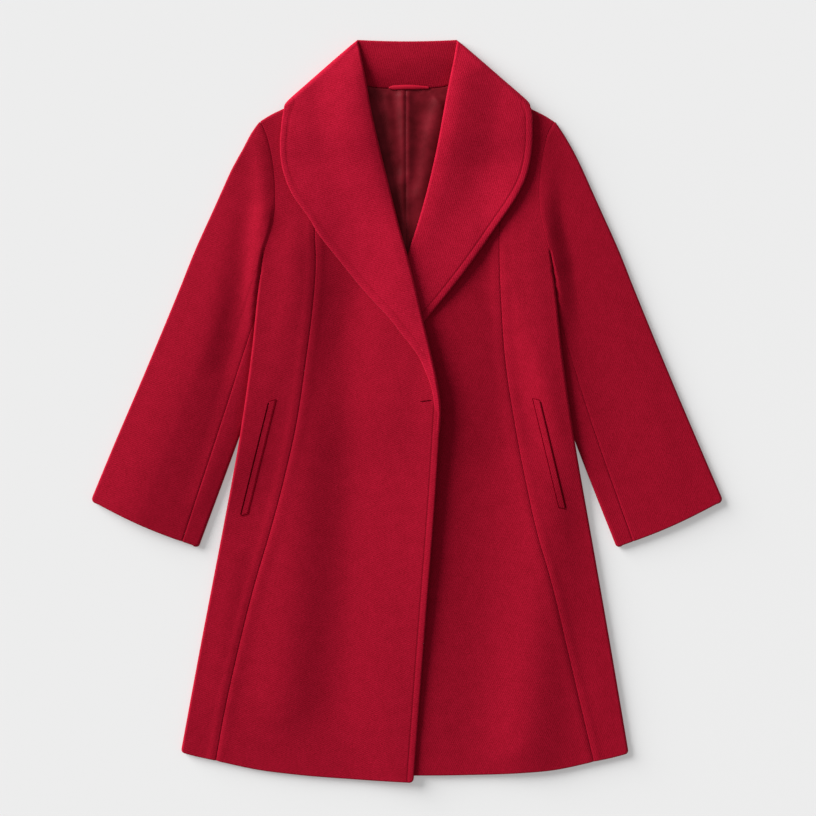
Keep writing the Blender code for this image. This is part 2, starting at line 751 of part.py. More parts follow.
def hanger_loop():
    """A strip across the neck seam, sewn down at its ends."""
    rest = OVER_FALL["lift"] + CLOTH + RESTING_GAP + LINING_CLOTH + SEAM_GAP + LOOP["cloth"] / 2
    grid = []
    for across in np.linspace(-0.5, 0.5, 3):
        y = LOOP["y"] + across * LOOP["width"]
        row = []
        for share in np.linspace(0, 1, 11):
            x = lerp(LOOP["from_x"], LOOP["to_x"], share)
            row.append((x, y, rest + LOOP["arch"] * np.sin(np.pi * share)))
        grid.append(row)
    return cloth("hanger_loop", grid, LOOP["cloth"], SATIN, 0.4)


def pocket_welt(side):
    """A narrow strip of cloth on the side front, made from that panel's own height."""
    grid = []
    for v in np.linspace(0, 1, 12):
        y = lerp(WELT["top_y"], WELT["bottom_y"], v)
        middle = lerp(WELT["top_in"], WELT["bottom_in"], v)
        row = []
        for across in np.linspace(-0.5, 0.5, 3):
            x = side * (middle + across * WELT["width"])
            place_y = y - across * WELT["width"] * WELT["slant"]
            height = front_height(x, place_y, side) + (CLOTH + WELT["cloth"]) / 2 + RESTING_GAP
            row.append((x, place_y, height))
        grid.append(row)
    return cloth(f"pocket_welt_{NAMES[side]}", grid, WELT["cloth"])


def main():
    for old in list(bpy.data.objects):
        bpy.data.objects.remove(old)
    back_points = back_grid()
    cloth("back", back_points, CLOTH)
    collar_back()
    hanger_loop()
    for side in (RIGHT, LEFT):
        fronts(side)
        sleeves(side)
        wing(side)
        lining(side, back_points)
        pocket_welt(side)


main()
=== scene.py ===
"""Shawl collar coat laid flat on its back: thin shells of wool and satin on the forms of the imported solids.

Every shell is a grid of points in the middle of its cloth, in millimetres, in the frame of the solids. Right
and left are the wearer's: the right half lies at -X and laps over the left half. Distances from the middle
are positive on their own half and negative past it. Places in the photograph become plan points by
MM_PER_PIXEL.
"""

import bpy
import numpy as np
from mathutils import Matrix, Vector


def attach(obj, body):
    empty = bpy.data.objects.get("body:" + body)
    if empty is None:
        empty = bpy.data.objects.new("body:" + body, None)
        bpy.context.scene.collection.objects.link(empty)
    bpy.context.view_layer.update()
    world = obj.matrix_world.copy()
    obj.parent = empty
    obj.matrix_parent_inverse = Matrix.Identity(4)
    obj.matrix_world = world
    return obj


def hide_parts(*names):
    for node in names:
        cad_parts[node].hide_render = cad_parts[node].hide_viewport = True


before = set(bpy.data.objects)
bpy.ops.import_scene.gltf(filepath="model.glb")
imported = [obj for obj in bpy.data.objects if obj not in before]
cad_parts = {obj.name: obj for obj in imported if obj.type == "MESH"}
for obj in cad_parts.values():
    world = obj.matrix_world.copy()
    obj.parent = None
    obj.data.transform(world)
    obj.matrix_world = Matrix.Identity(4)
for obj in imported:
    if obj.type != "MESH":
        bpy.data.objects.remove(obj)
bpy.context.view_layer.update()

MM = 0.001
RIGHT, LEFT = -1, 1
NAMES = {RIGHT: "right", LEFT: "left"}

# The photograph's frame, the pixel above the origin, and its scale at the coat.
PHOTO_SIZE = 816
ORIGIN_PIXEL = (407, 410.5)
MM_PER_PIXEL = 1.35

CLOTH = 2.4
COLLAR_CLOTH = 3.0
LINING_CLOTH = 0.8
# The solids stand SEAM_GAP apart at a seam, and the shells overlap there by SEAM_PRESS.
SEAM_GAP = 0.3
SEAM_PRESS = 0.25
FOLD_RADIUS = 2.1
LAYER_RISE = 2 * FOLD_RADIUS
HEM_Y = -500

# Outer edge of the body: shoulder tip, armhole seam, side fold. Columns: y, right, left.
BODY_EDGE = (
    (389.5, 197.5, 198.5),
    (374, 190.5, 190.5),
    (350, 184, 184.5),
    (320, 179.5, 179.8),
    (290, 177.8, 178.2),
    (265, 179, 180),
    (240, 184, 185),
    (214, 192.5, 191.8),
    (175, 198.5, 197.7),
    (75, 209.3, 208.8),
    (-38, 225.5, 225),
    (-161, 248.4, 247),
    (-323, 279.5, 275.4),
    (-460, 305, 298.8),
)
ARMHOLE_END_Y = 214
SIDE_TURN_Y, SIDE_FOLD_Y = 236, 174

# Levels that run across the body's panels. Columns: y at the armhole or side, at the princess seam, at the
# gorge or front edge. The hem adds the last level.
ROWS = (
    (387, 422.3, 439.6),
    (374, 408, 424),
    (350, 385, 405),
    (320, 355, 378),
    (290, 325, 350),
    (265, 296, 320),
    (240, 268, 290),
    (214, 235, 246),
    (184, 192, 190),
    (152, 156, 156),
    (110, 112, 116),
    (68, 70, 76),
    (34, 36, 42),
    (3, 3.5, 4.5),
    (-55, -56, -58),
    (-105, -108, -112),
    (-165, -170, -175),
    (-260, -268, -278),
    (-370, -378, -392),
)

# Seam between the centre front and the side front. Columns: y, right, left.
PRINCESS = (
    (426, 118, 118),
    (330, 123, 122.5),
    (245, 124.2, 124.2),
    (196, 122.8, 124.8),
    (144, 126.5, 127),
    (63, 136.6, 133),
    (-18, 148.8, 145.3),
    (-91, 165, 159),
    (-168, 185.5, 176),
    (-225, 202.6, 192.5),
    (-322, 227.3, 216),
    (-417, 247.9, 238.5),
    (-472, 257.6, 251.5),
)

# Roll line of the collar, from the corner beside the neck to the front edge. Columns: y, right, left.
ROLL = (
    (499, 66.2, 67.5),
    (470, 60.5, 62.6),
    (437, 54, 55.8),
    (406, 48.6, 50),
    (352, 36.5, 40),
    (298, 23, 27.5),
    (244, 9.5, 12),
    (207, -0.9, -0.5),
    (118, -22.3, -22.3),
    (74, -32.9, -32.9),
    (41, -40.2, -40.2),
    (4, -45.5, -45.5),
    (-40, -43, -43),
)
COLLAR_END_Y = 4
WING_END_Y = -30

# Outer edge of the collar's wing, from the shoulder to where it meets the roll. Columns: y, right, left.
COLLAR_EDGE = (
    (418.5, 160, 161),
    (406.4, 164.7, 166.2),
    (379, 169.2, 168.6),
    (354, 170.8, 167.8),
    (334, 169.2, 165.2),
    (314, 164.3, 160),
    (290, 153.9, 148.8),
    (272.6, 141.8, 138.1),
    (258.5, 131.8, 128.3),
    (241, 121.5, 116),
    (202, 91.3, 88.7),
    (155, 52.7, 52.5),
    (119, 19.7, 22.3),
    (102, 6.8, 7.5),
    (85, -6.8, -6.8),
    (71, -16.2, -16.2),
    (53, -24.3, -24.3),
    (36, -31.1, -31.1),
    (4, -36.6, -36.6),
    (-40, -34.4, -34.4),
)

# Front edge below the collar. Columns: y, right, left.
FRONT_EDGE = ((4, -45.5, -45.5), (-118, -37.8, -37.8), (-282, -25.2, -25.2), (-500, -8.8, -8.8))

# Shoulder seam, a fold outside the collar. Columns: distance from the middle, y.
SHOULDER = ((62, 447), (118, 426), (169, 405.7), (185, 397.8), (198, 389.6))

# Seam between the back and the neck. Columns: distance from the middle, y.
NECKLINE = ((0, 434), (40, 434.6), (54, 437), (62, 440.4))

# Hem of the fronts. Columns: distance from the middle, y on the right half, y on the left half.
HEM = (
    (-10, -500.6, -491.2),
    (75, -496, -490.7),
    (155, -489.7, -488),
    (200, -484.2, -484.2),
    (255, -472.6, -472.5),
    (305, -459.6, -459.2),
)
BACK_HEM_RISE = 4

# Folds of a sleeve. The inner one is hidden below the body at its top. Columns: y, right, left.
SLEEVE_OUTER = (
    (389.5, 199.8, 199),
    (378.7, 207.9, 206.5),
    (351.7, 222.8, 222.8),
    (324.7, 237.6, 236.3),
    (297.7, 249.8, 248.4),
    (270.7, 261.9, 260.6),
    (216.7, 286.2, 284.9),
    (162.7, 307.8, 306.5),
    (54.7, 352.4, 351),
    (-53.3, 398.3, 396.9),
    (-122, 426.6, 426.6),
)
SLEEVE_INNER = ((165, 157, 157), (-53.3, 233.6, 232.2), (-184.3, 280.8, 282.5))
# End of the sleeve's head, hidden below the body past the armhole. Columns: y, distance from the middle.
SLEEVE_HEAD_END = ((214, 190), (203, 185), (190, 176), (165, 157))
# The step in y in which a sleeve's end goes from the armhole to below the body.
SLEEVE_TUCK = (222, -22)
SLEEVE_TOP_Y, SLEEVE_END_Y = 387.5, 165
SLEEVE_INNER_RADIUS = 1.9
# Direction square to a sleeve's inner fold.
INNER_FOLD_SQUARE = (0.94, 0.3)
SLEEVE_SEAM_IN = 21
CUFF_BOW = 4
SLEEVE_LENGTH = 500
HIND_SEAM_Y = 350
# A sleeve swells beside its outer fold: height, and the share of its width where it is highest.
SLEEVE_PUFF = {RIGHT: 5.5, LEFT: 0.6}
PUFF_PEAK, PUFF_FALL = 0.42, 1.25
# How far from the armhole a sleeve comes down to its own height. Past the armhole's end it lies close to the
# body's edge for a while, a little lower, and goes under it there.
ARMHOLE_SPREAD = {RIGHT: 25, LEFT: 30}
ARMHOLE_TAIL = {"end": (76, 110), "lower": 0.8, "lower_over": 40, "tucked_over": 2.6}
# Where the armhole's seam ends, and the share of the sleeve's width beside its outer fold that is free of it.
SEWN, FREE_OF_SEAM = (ARMHOLE_END_Y - 16, 20), 0.05
# Shares of a sleeve's width: what each half of a fold takes up, and how far a round corner reaches in.
FOLD_SHARE, CORNER_REACH, SLEEVE_ROWS = 0.012, 0.02, 130
# Small shares of a sleeve's length and width, to find where a fold runs to and which way it faces.
AHEAD, ASIDE = 0.004, 0.05

# How far the roll stands above a wing lying flat. Columns: y on the roll line, right, left.
ROLL_RISE = (
    (499, 1.6, 1.2),
    (470, 6, 4.2),
    (437, 9.2, 6.4),
    (406, 9.8, 6.6),
    (352, 9.2, 6),
    (298, 7.8, 5),
    (244, 5.6, 3.6),
    (207, 3.6, 2.4),
    (118, 1.8, 1.2),
    (4, 0.4, 0.4),
)
ROLL_RADIUS = 1.7
# Near its roll a wing curves down: over this length, by this height, where the roll stands this high.
ROLL_CURVE = {RIGHT: (18, 2.8), LEFT: (24, 4.6)}
ROLL_CURVE_LIFT = 8
# The wing's outer edge lifts off the front by this height, over this length, and not at its low end.
EDGE_LIFT = {RIGHT: (0.0, 40), LEFT: (4.2, 40)}
EDGE_LIFT_FROM = (100, 110)
# The wing sinks level with the front where the front edge takes over from its outer edge, and before that
# it comes down onto the front. Columns: depth, soft step.
WING_SINKS = ((3.1, (62, -68)), (0.8, (150, -80)))
# Share of the front's folds that shows on a wing.
WING_FOLDS = {RIGHT: 0.35, LEFT: 1.0}
# How far the hidden leg of the roll reaches back to the front's own edge. Columns: y, distance.
ROLL_LEG = ((499, 17), (125, 17), (85, 11.5), (60, 8), (41, 5.8), (4, 4.6))
# Inner edge of the centre front: at the end of the roll's leg, then close beside the roll, then, where the
# wing ends, the front edge.
BESIDE_ROLL, AT_LEG, BELOW_WING = 1.5, (14, 40), (-6, 16)

# Air between two layers that lie on each other.
RESTING_GAP = 0.8
# Lower edge of the collar's fall, hidden below the back, and how far it bows up at its ends.
FALL_Y = 385
FALL_BOW = 15

# Where a panel climbs onto what lies below it, as on the solids: by how much, the soft step of the climb past
# the lower piece's edge, and the soft steps in y at its top and its low end.
OVER_SLEEVE = {"lift": 6.4, "top": (350, -130), "low": (-160, 110)}
SLEEVE_CLIMB = {RIGHT: (-96, 96), LEFT: (-60, 50)}
OVER_FALL = {"lift": COLLAR_CLOTH + SEAM_GAP, "climb": (-66, 56), "half_width": 196, "side_fade": 62}
OVER_FRONT = {"lift": 3.6, "climb": (-76, 84)}
OVER_WING = {"lift": 5.4, "climb": (-126, 130), "top": (300, -84), "low": (-90, 110)}
# The right front rises towards its edge by this much more, from this far to the right of the middle.
EDGE_RISE = {"height": 13, "from_x": -86, "over": 128, "bend": 1.5, "at_hem": 0.12}
EDGE_RISE |= {"top": (150, -120), "hem": (HEM_Y, 330)}
# Past the left wing's outer edge the right front comes down again, to this share of its lift over the wing.
PAST_WING, PAST_WING_KEPT = (12, 40), 0.75

# Soft folds of the cloth, in the photograph's pixels. Columns: half width, height in millimetres, line.
FRONT_FOLDS = {
    RIGHT: (
        (30, 3.9, ((300, 255), (308, 330), (306, 400), (302, 500), (295, 600), (284, 700))),
        (27, -2.3, ((345, 300), (347, 350), (346, 450), (339, 600), (332, 700))),
        (16, 1.4, ((232, 560), (217, 700))),
    ),
    LEFT: (
        (31, 5.9, ((555, 225), (560, 330), (557, 400), (550, 480), (543, 600), (528, 740))),
        (18, -1.2, ((499, 235), (503, 330), (495, 450))),
        (30, -1.6, ((482, 470), (480, 600), (474, 740))),
        (20, 0.9, ((590, 560), (606, 700))),
    ),
}
SLEEVE_FOLDS = {
    RIGHT: (
        (10, 1.4, ((263, 132), (266, 180), (267, 225))),
        (15, -2.8, ((247, 168), (246, 205), (241, 260), (236, 300), (230, 340), (225, 366))),
        (10, 2.8, ((263, 215), (261, 238), (257, 265), (254, 300), (252, 335))),
        (11, 2.4, ((250, 354), (244, 380), (240, 405), (235, 425), (219, 460), (204, 500))),
    ),
    LEFT: (
        (9, 1.0, ((546, 138), (549, 185), (552, 230))),
        (13, -0.8, ((563, 175), (563, 230), (569, 270))),
        (19, 3.0, ((561, 350), (570, 390), (577, 430), (584, 470))),
        (26, 1.0, ((606, 215), (624, 300), (650, 380), (672, 460))),
    ),
}
# A sleeve's folds fade towards its cuff, as shares of its length, the armhole and its own long folds.
FOLDS_END = {"cuff": 0.06, "at_cuff": 0.3, "armhole": 6, "bend": 0.7}
# Both sides of the princess seam stand up a little: how far from the seam, half width, height.
SEAM_PUFF = (7, 5, 0.5)
# Towards the body's edge the folds of the fronts fade to a share of their height, over this length.
FOLDS_FADE, FOLDS_AT_EDGE = 40, 0.55

# Distances from a stitched edge where a shell has columns, and the stitch line's own distance.
EDGE_COLUMNS = (0, 1.7, 3.2, 4.8, 6.2, 7.2, 8, 8.7, 9.4, 10.2, 11.4, 14, 18, 24)
STITCH_IN = 8.7
STITCH_DEPTH, STITCH_WIDTH, STITCH_FADE = 0.32, 1.0, 60
# The band between the stitch line and the edge is a little higher.
BAND_RISE = 0.15
# How far the weave of each piece is turned, in degrees, the other way on the right.
TURNS = {"back": 20, "centre": 20, "side": 24, "sleeve": 24, "wing": 30, "stand": 32, "welt": 14}


def curve(table, column=1):
    """A smooth function through one column of a table, against its first column."""
    rows = sorted((row[0], row[column]) for row in table)
    at = np.array([row[0] for row in rows], float)
    values = np.array([row[1] for row in rows], float)
    slopes = np.gradient(values, at)

    def value(x):
        x = np.clip(x, at[0], at[-1])
        i = np.clip(np.searchsorted(at, x) - 1, 0, len(at) - 2)
        gap = at[i + 1] - at[i]
        s = (x - at[i]) / gap
        start = (1 + 2 * s) * (1 - s) ** 2 * values[i] + s * (1 - s) ** 2 * gap * slopes[i]
        end = s * s * (3 - 2 * s) * values[i + 1] + s * s * (s - 1) * gap * slopes[i + 1]
        return start + end

    return value


def both(table):
    return {RIGHT: curve(table, 1), LEFT: curve(table, 2)}


body_edge, princess, front_edge, hem = both(BODY_EDGE), both(PRINCESS), both(FRONT_EDGE), both(HEM)
roll, collar_edge = both(ROLL), both(COLLAR_EDGE)
sleeve_outer, sleeve_inner = both(SLEEVE_OUTER), both(SLEEVE_INNER)
shoulder, neckline, sleeve_head_end = curve(SHOULDER), curve(NECKLINE), curve(SLEEVE_HEAD_END)
roll_rise, roll_leg = both(ROLL_RISE), curve(ROLL_LEG)


def ramp(t):
    """0 below 0, 1 above 1, and a soft step between."""
    t = np.clip(t, 0, 1)
    return t * t * (3 - 2 * t)


def eased(value, start, over):
    """A soft step in a value: 0 at start and 1 from start + over on. over is negative for a step downward."""
    return ramp((value - start) / over)


def lerp(a, b, t):
    return a + (b - a) * t


def unit(vectors):
    return vectors / np.maximum(np.linalg.norm(vectors, axis=-1, keepdims=True), 1e-9)


def points(x, y, z=0):
    return np.stack(np.broadcast_arrays(np.asarray(x, float), y, z), axis=-1)


def plan_of(pixel):
    """The point of the plan at a pixel of the photograph."""
    return (pixel[0] - ORIGIN_PIXEL[0]) * MM_PER_PIXEL, (ORIGIN_PIXEL[1] - pixel[1]) * MM_PER_PIXEL


def distance_to(line, grid):
    """Distance in plan from every point of a grid to a line of points."""
    least = np.full(grid.shape[:-1], 1e9)
    for start, run in zip(line[:-1, :2], np.diff(line[:, :2], axis=0)):
        off = grid[..., :2] - start
        along = np.clip((off @ run) / max(run @ run, 1e-9), 0, 1)
        least = np.minimum(least, np.linalg.norm(off - along[..., None] * run, axis=-1))
    return least


# Heights of the layers, as functions of the place in plan.


def between(y, over):
    """1 where the lower piece lies, fading out past its top and its low end."""
    return eased(y, *over["top"]) * eased(y, *over["low"])


def folds(x, y, table):
    """Soft ridges and troughs along lines that are given in the photograph's pixels."""
    grid = points(x, y)
    height = 0
    for width, peak, line in table:
        ends = np.array([plan_of(pixel) for pixel in line])
        height = height + peak * np.exp(-((distance_to(ends, grid) / (width * MM_PER_PIXEL)) ** 2))
    return height


def back_height(x, y):
    """Middle of the back's cloth: flat on the ground, over the tucked sleeves and the collar's fall."""
    climbs = [eased(np.abs(x) - sleeve_inner[side](y), *SLEEVE_CLIMB[side]) for side in (RIGHT, LEFT)]
    over_sleeve = np.where(x < 0, *climbs) * between(y, OVER_SLEEVE)
    fall_edge = FALL_Y + FALL_BOW * (x / OVER_FALL["half_width"]) ** 2
    sides = eased(np.abs(x), OVER_FALL["half_width"], -OVER_FALL["side_fade"])
    over_fall = eased(y - fall_edge, *OVER_FALL["climb"]) * sides
    return CLOTH / 2 + OVER_SLEEVE["lift"] * over_sleeve + OVER_FALL["lift"] * over_fall


def gorge(y, side):
    """Inner edge of the centre front: it follows the roll below the wing, then it is the front edge."""
    leg = lerp(BESIDE_ROLL, roll_leg(y), eased(y, *AT_LEG))
    return lerp(front_edge[side](y), roll[side](y) + leg, eased(y, *BELOW_WING))


def lap_lift(x, y):
    """How far the right front is lifted by the left front and by the left wing below it."""
    over_front = eased(x - gorge(y, LEFT), *OVER_FRONT["climb"])
    over_wing = eased(x - roll[LEFT](y), *OVER_WING["climb"]) * between(y, OVER_WING)
    past_wing = eased(x - collar_edge[LEFT](y), *PAST_WING)
    wing_lift = OVER_WING["lift"] * over_wing * lerp(1, PAST_WING_KEPT, past_wing)
    rise = np.clip((x - EDGE_RISE["from_x"]) / EDGE_RISE["over"], 0, 1.1) ** EDGE_RISE["bend"]
    kept = lerp(EDGE_RISE["at_hem"], 1, eased(y, *EDGE_RISE["hem"])) * eased(y, *EDGE_RISE["top"])
    return OVER_FRONT["lift"] * over_front * (1 - kept) + wing_lift + EDGE_RISE["height"] * kept * rise


def front_height(x, y, side):
    """Middle of the front's cloth."""
    inside = eased(np.abs(x), body_edge[side](y), -FOLDS_FADE)
    folded = folds(x, y, FRONT_FOLDS[side]) * lerp(FOLDS_AT_EDGE, 1, inside)
    height = back_height(x, y) + LAYER_RISE + folded
    return height + lap_lift(x, y) if side == RIGHT else height


def seam_puff(x, y, side):
    """How much the panels stand up on both sides of the princess seam."""
    away, width, peak = SEAM_PUFF
    return peak * np.exp(-(((np.abs(side * x - princess[side](y)) - away) / width) ** 2))


def wing_height(x, y, side, lift):
    """Middle of a wing's cloth, this much above where it would lie on the front."""
    sunk = sum(depth * eased(y, *fall) for depth, fall in WING_SINKS)
    sunk = sunk + (1 - WING_FOLDS[side]) * folds(x, y, FRONT_FOLDS[side])
    corner = np.hypot(side * x - FOLD_CORNER[side][0], y - FOLD_CORNER[side][1])
    near_corner = np.clip(1 - corner / CORNER_DROP["over"], 0, 1)
    sunk = sunk + CORNER_DROP["depth"] * near_corner ** CORNER_DROP["bend"]
    return front_height(x, y, side) + (CLOTH + COLLAR_CLOTH) / 2 + RESTING_GAP + lift - sunk


# Making shells.


FAR_FROM_EDGE = 100.0


def stitched(grid, line, fades_at):
    """The grid with a stitch line pressed in beside an edge, and how far each point is from that edge."""
    away = distance_to(line, grid)
    grid = grid.copy()
    kept = eased(grid[..., 1], fades_at, STITCH_FADE)
    grid[..., 2] -= kept * STITCH_DEPTH * np.exp(-(((away - STITCH_IN) / STITCH_WIDTH) ** 2))
    grid[..., 2] += kept * BAND_RISE * np.sin(np.pi * np.clip(away / STITCH_IN, 0, 1)) ** 2
    return grid, np.where(kept < 0.5, FAR_FROM_EDGE, away)


def perimeter(rows, columns):
    """Rows and columns of the places round the edge of a grid, in order."""
    places = np.mgrid[:rows, :columns]
    return [np.concatenate([g[0, :-1], g[:-1, -1], g[-1, :0:-1], g[:0:-1, 0]]) for g in places]


def quads(index):
    """Faces between neighbouring rows and columns of a grid of vertex numbers."""
    corners = index[:-1, :-1], index[:-1, 1:], index[1:, 1:], index[1:, :-1]
    return np.stack([c.ravel() for c in corners], axis=1)


def inset(grid, by):
    """Every row of a grid made shorter at both ends, to leave room for the rounded edges."""
    lengths = np.linalg.norm(np.diff(grid, axis=1), axis=2)
    run = np.concatenate([np.zeros((len(grid), 1)), np.cumsum(lengths, axis=1)], axis=1)
    made = np.empty_like(grid)
    for row, points_in, at in zip(made, grid, run):
        wanted = by + at * (at[-1] - 2 * by) / at[-1]
        for axis in range(3):
            row[:, axis] = np.interp(wanted, at, points_in[:, axis])
    return made


RIM_ANGLES = np.radians((45, 90, 135))


def shell(name, node, grid, thickness, material, turn=0, away=None):
    """A closed wall of cloth with half-round edges that replaces a solid. turn is its weave's, in degrees."""
    rows, columns = grid.shape[:2]
    radius = thickness / 2
    grid = inset(inset(grid, radius).transpose(1, 0, 2), radius).transpose(1, 0, 2)
    normal = unit(np.cross(np.gradient(grid, axis=1), np.gradient(grid, axis=0)))
    if normal[rows // 2, columns // 2, 2] < 0:
        normal = -normal
    i, j = perimeter(rows, columns)
    edge, edge_normal = grid[i, j], normal[i, j]
    ahead = unit(np.roll(edge, -1, axis=0) - edge)
    outward = unit(np.cross(unit(ahead + np.roll(ahead, 1, axis=0)), edge_normal))
    if ((edge - grid[2:-2, 2:-2].mean(axis=(0, 1))) * outward).sum() < 0:
        outward = -outward
    rim = [edge + radius * (outward * np.sin(a) + edge_normal * np.cos(a)) for a in RIM_ANGLES]
    layers = [(grid + normal * radius).reshape(-1, 3), (grid - normal * radius).reshape(-1, 3)]
    vertices = np.concatenate(layers + rim)
    count = rows * columns
    index = np.arange(count).reshape(rows, columns)
    around = [index[i, j]] + [2 * count + k * len(i) + np.arange(len(i)) for k in range(len(rim))]
    around = np.array(around + [index[i, j] + count])
    around = np.concatenate([around, around[:, :1]], axis=1)
    faces = np.concatenate([quads(index), quads(index)[:, ::-1] + count, quads(around)[:, ::-1]])
    mesh = bpy.data.meshes.new(name)
    mesh.from_pydata((vertices * MM).tolist(), [], faces.tolist())
    made = bpy.data.objects.new(name, mesh)
    bpy.context.scene.collection.objects.link(made)
    face_out(mesh)
    mesh.shade_smooth()
    away = np.full((rows, columns), FAR_FROM_EDGE) if away is None else away
    from_edge = np.concatenate([away.ravel(), away.ravel()] + [away[i, j]] * len(rim))
    mark(mesh, vertices, turn, from_edge)
    mesh.materials.append(material)
    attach(made, "root")
    if node:
        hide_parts(node)
    return made


def mark(mesh, vertices, turn, from_edge):
    """Gives a mesh what its material reads: the distance from the stitched edge, and the weave's plan."""
    stored = mesh.attributes.new("from_edge", "FLOAT", "POINT")
    stored.data.foreach_set("value", from_edge.astype(np.float32))
    sine, cosine = np.sin(np.radians(turn)), np.cos(np.radians(turn))
    turned = vertices[:, :2] @ np.array([[cosine, -sine], [sine, cosine]])
    loops = np.zeros(len(mesh.loops), np.int32)
    mesh.loops.foreach_get("vertex_index", loops)
    weave = mesh.uv_layers.new(name="weave")
    weave.data.foreach_set("uv", (turned[loops] * MM).astype(np.float32).ravel())


def face_out(mesh):
    """Turns the faces outward: the volume inside them is then positive."""
    coordinates = np.zeros(len(mesh.vertices) * 3)
    mesh.vertices.foreach_get("co", coordinates)
    coordinates = coordinates.reshape(-1, 3)
    mesh.calc_loop_triangles()
    triangles = np.zeros(len(mesh.loop_triangles) * 3, np.int32)
    mesh.loop_triangles.foreach_get("vertices", triangles)
    if np.linalg.det(coordinates[triangles.reshape(-1, 3)]).sum() < 0:
        mesh.flip_normals()


def turned_strip(turn, radius, leg, length, steps=30):
    """A strip that runs flat, turns down by an angle and ends in a leg: (outward, down, reach)."""
    flat = length - radius * turn - leg
    stops = np.linspace(0, length, steps)
    angle = np.clip((stops - flat) / radius, 0, turn)
    rest = np.maximum(0, stops - flat - radius * turn)
    out = np.minimum(stops, flat) + radius * np.sin(angle) + rest * np.cos(turn)
    down = radius * (1 - np.cos(angle)) + rest * np.sin(turn)
    reach = flat + radius if turn > np.pi / 2 else out[-1]
    return out, down, reach


# Materials.


def feed(tree, socket, value):
    """Sets a socket, or links it where the value is another node's output."""
    if isinstance(value, bpy.types.NodeSocket):
        tree.links.new(value, socket)
    else:
        socket.default_value = value


def add(tree, kind, values, **settings):
    node = tree.nodes.new(kind)
    for key, value in settings.items():
        setattr(node, key, value)
    for key, value in values.items():
        feed(tree, node.inputs[key], value)
    return node


def shader(name, roughness, specular):
    made = bpy.data.materials.new(name)
    made.use_nodes = True
    surface = made.node_tree.nodes["Principled BSDF"]
    surface.inputs["Roughness"].default_value = roughness
    surface.inputs["Specular IOR Level"].default_value = specular
    return made, made.node_tree, surface


def maths(tree, operation, a, b):
    return add(tree, "ShaderNodeMath", {0: a, 1: b}, operation=operation).outputs[0]


def weighted(tree, *parts):
    """Sum of values, each times its share."""
    total = maths(tree, "MULTIPLY", *parts[0])
    for part in parts[1:]:
        total = maths(tree, "ADD", total, maths(tree, "MULTIPLY", *part))
    return total


# Sockets of the Mix node for colours.
MIX_A, MIX_B, MIX_RESULT = 6, 7, 2


def mixed(tree, share, a, b):
    """A colour between a and b."""
    values = {"Factor": share, MIX_A: a, MIX_B: b}
    return add(tree, "ShaderNodeMix", values, data_type="RGBA").outputs[MIX_RESULT]


def noise(tree, vector, scale, detail, roughness=0.6):
    values = {"Vector": vector, "Scale": scale, "Detail": detail, "Roughness": roughness}
    return add(tree, "ShaderNodeTexNoise", values).outputs["Fac"]


def scaled(tree, vector, scale, turn):
    values = {"Vector": vector, "Scale": scale, "Rotation": (0, 0, np.radians(turn))}
    return add(tree, "ShaderNodeMapping", values).outputs[0]


def ranged(tree, value, low, high, to_low=0.0, to_high=1.0):
    return add(tree, "ShaderNodeMapRange", {0: value, 1: low, 2: high, 3: to_low, 4: to_high}).outputs[0]


def bumped(tree, surface, height, strength, distance):
    values = {"Height": height, "Strength": strength, "Distance": distance}
    feed(tree, surface.inputs["Normal"], add(tree, "ShaderNodeBump", values).outputs[0])


def weave_of(tree):
    """The place in the weave, in metres."""
    return add(tree, "ShaderNodeUVMap", {}, uv_map="weave").outputs[0]


# Colours of the wool's dark grain, its light grain, and the painted shade of a stitched line's groove.
WOOL_COLOURS = ((0.188, 0.0010, 0.0075, 1), (0.368, 0.0052, 0.0245, 1), (0.17, 0.0010, 0.007, 1))
# Painted light: the collar's wings get a lighter copy of the wool, standing in for light that the wings
# catch.
COLLAR_LIT_COLOURS = ((0.235, 0.0014, 0.0100, 1), (0.450, 0.0074, 0.0330, 1), (0.20, 0.0014, 0.009, 1))
SATIN_COLOURS = ((0.105, 0.003, 0.007, 1), (0.18, 0.007, 0.015, 1))
# Sizes of the patterns, in features a metre, and the angles of ribs, fibres and threads.
CLOUDS, STREAKS, FIBRES, RIBS = 60, (280, 860, 1), (640, 640, 1), (130, 130, 1)
SATIN_CLOUDS, THREADS, PLAIN_THREADS = 30, (400, 3000, 1), 2200
RIB_ANGLE, FIBRE_ANGLE, THREAD_ANGLE = 45, 31, 70
# How far the painted shade of the stitched line reaches to both sides, and how strong it is in its middle.
STITCH_SHADE, STITCH_SHARE = 1.3, 0.6


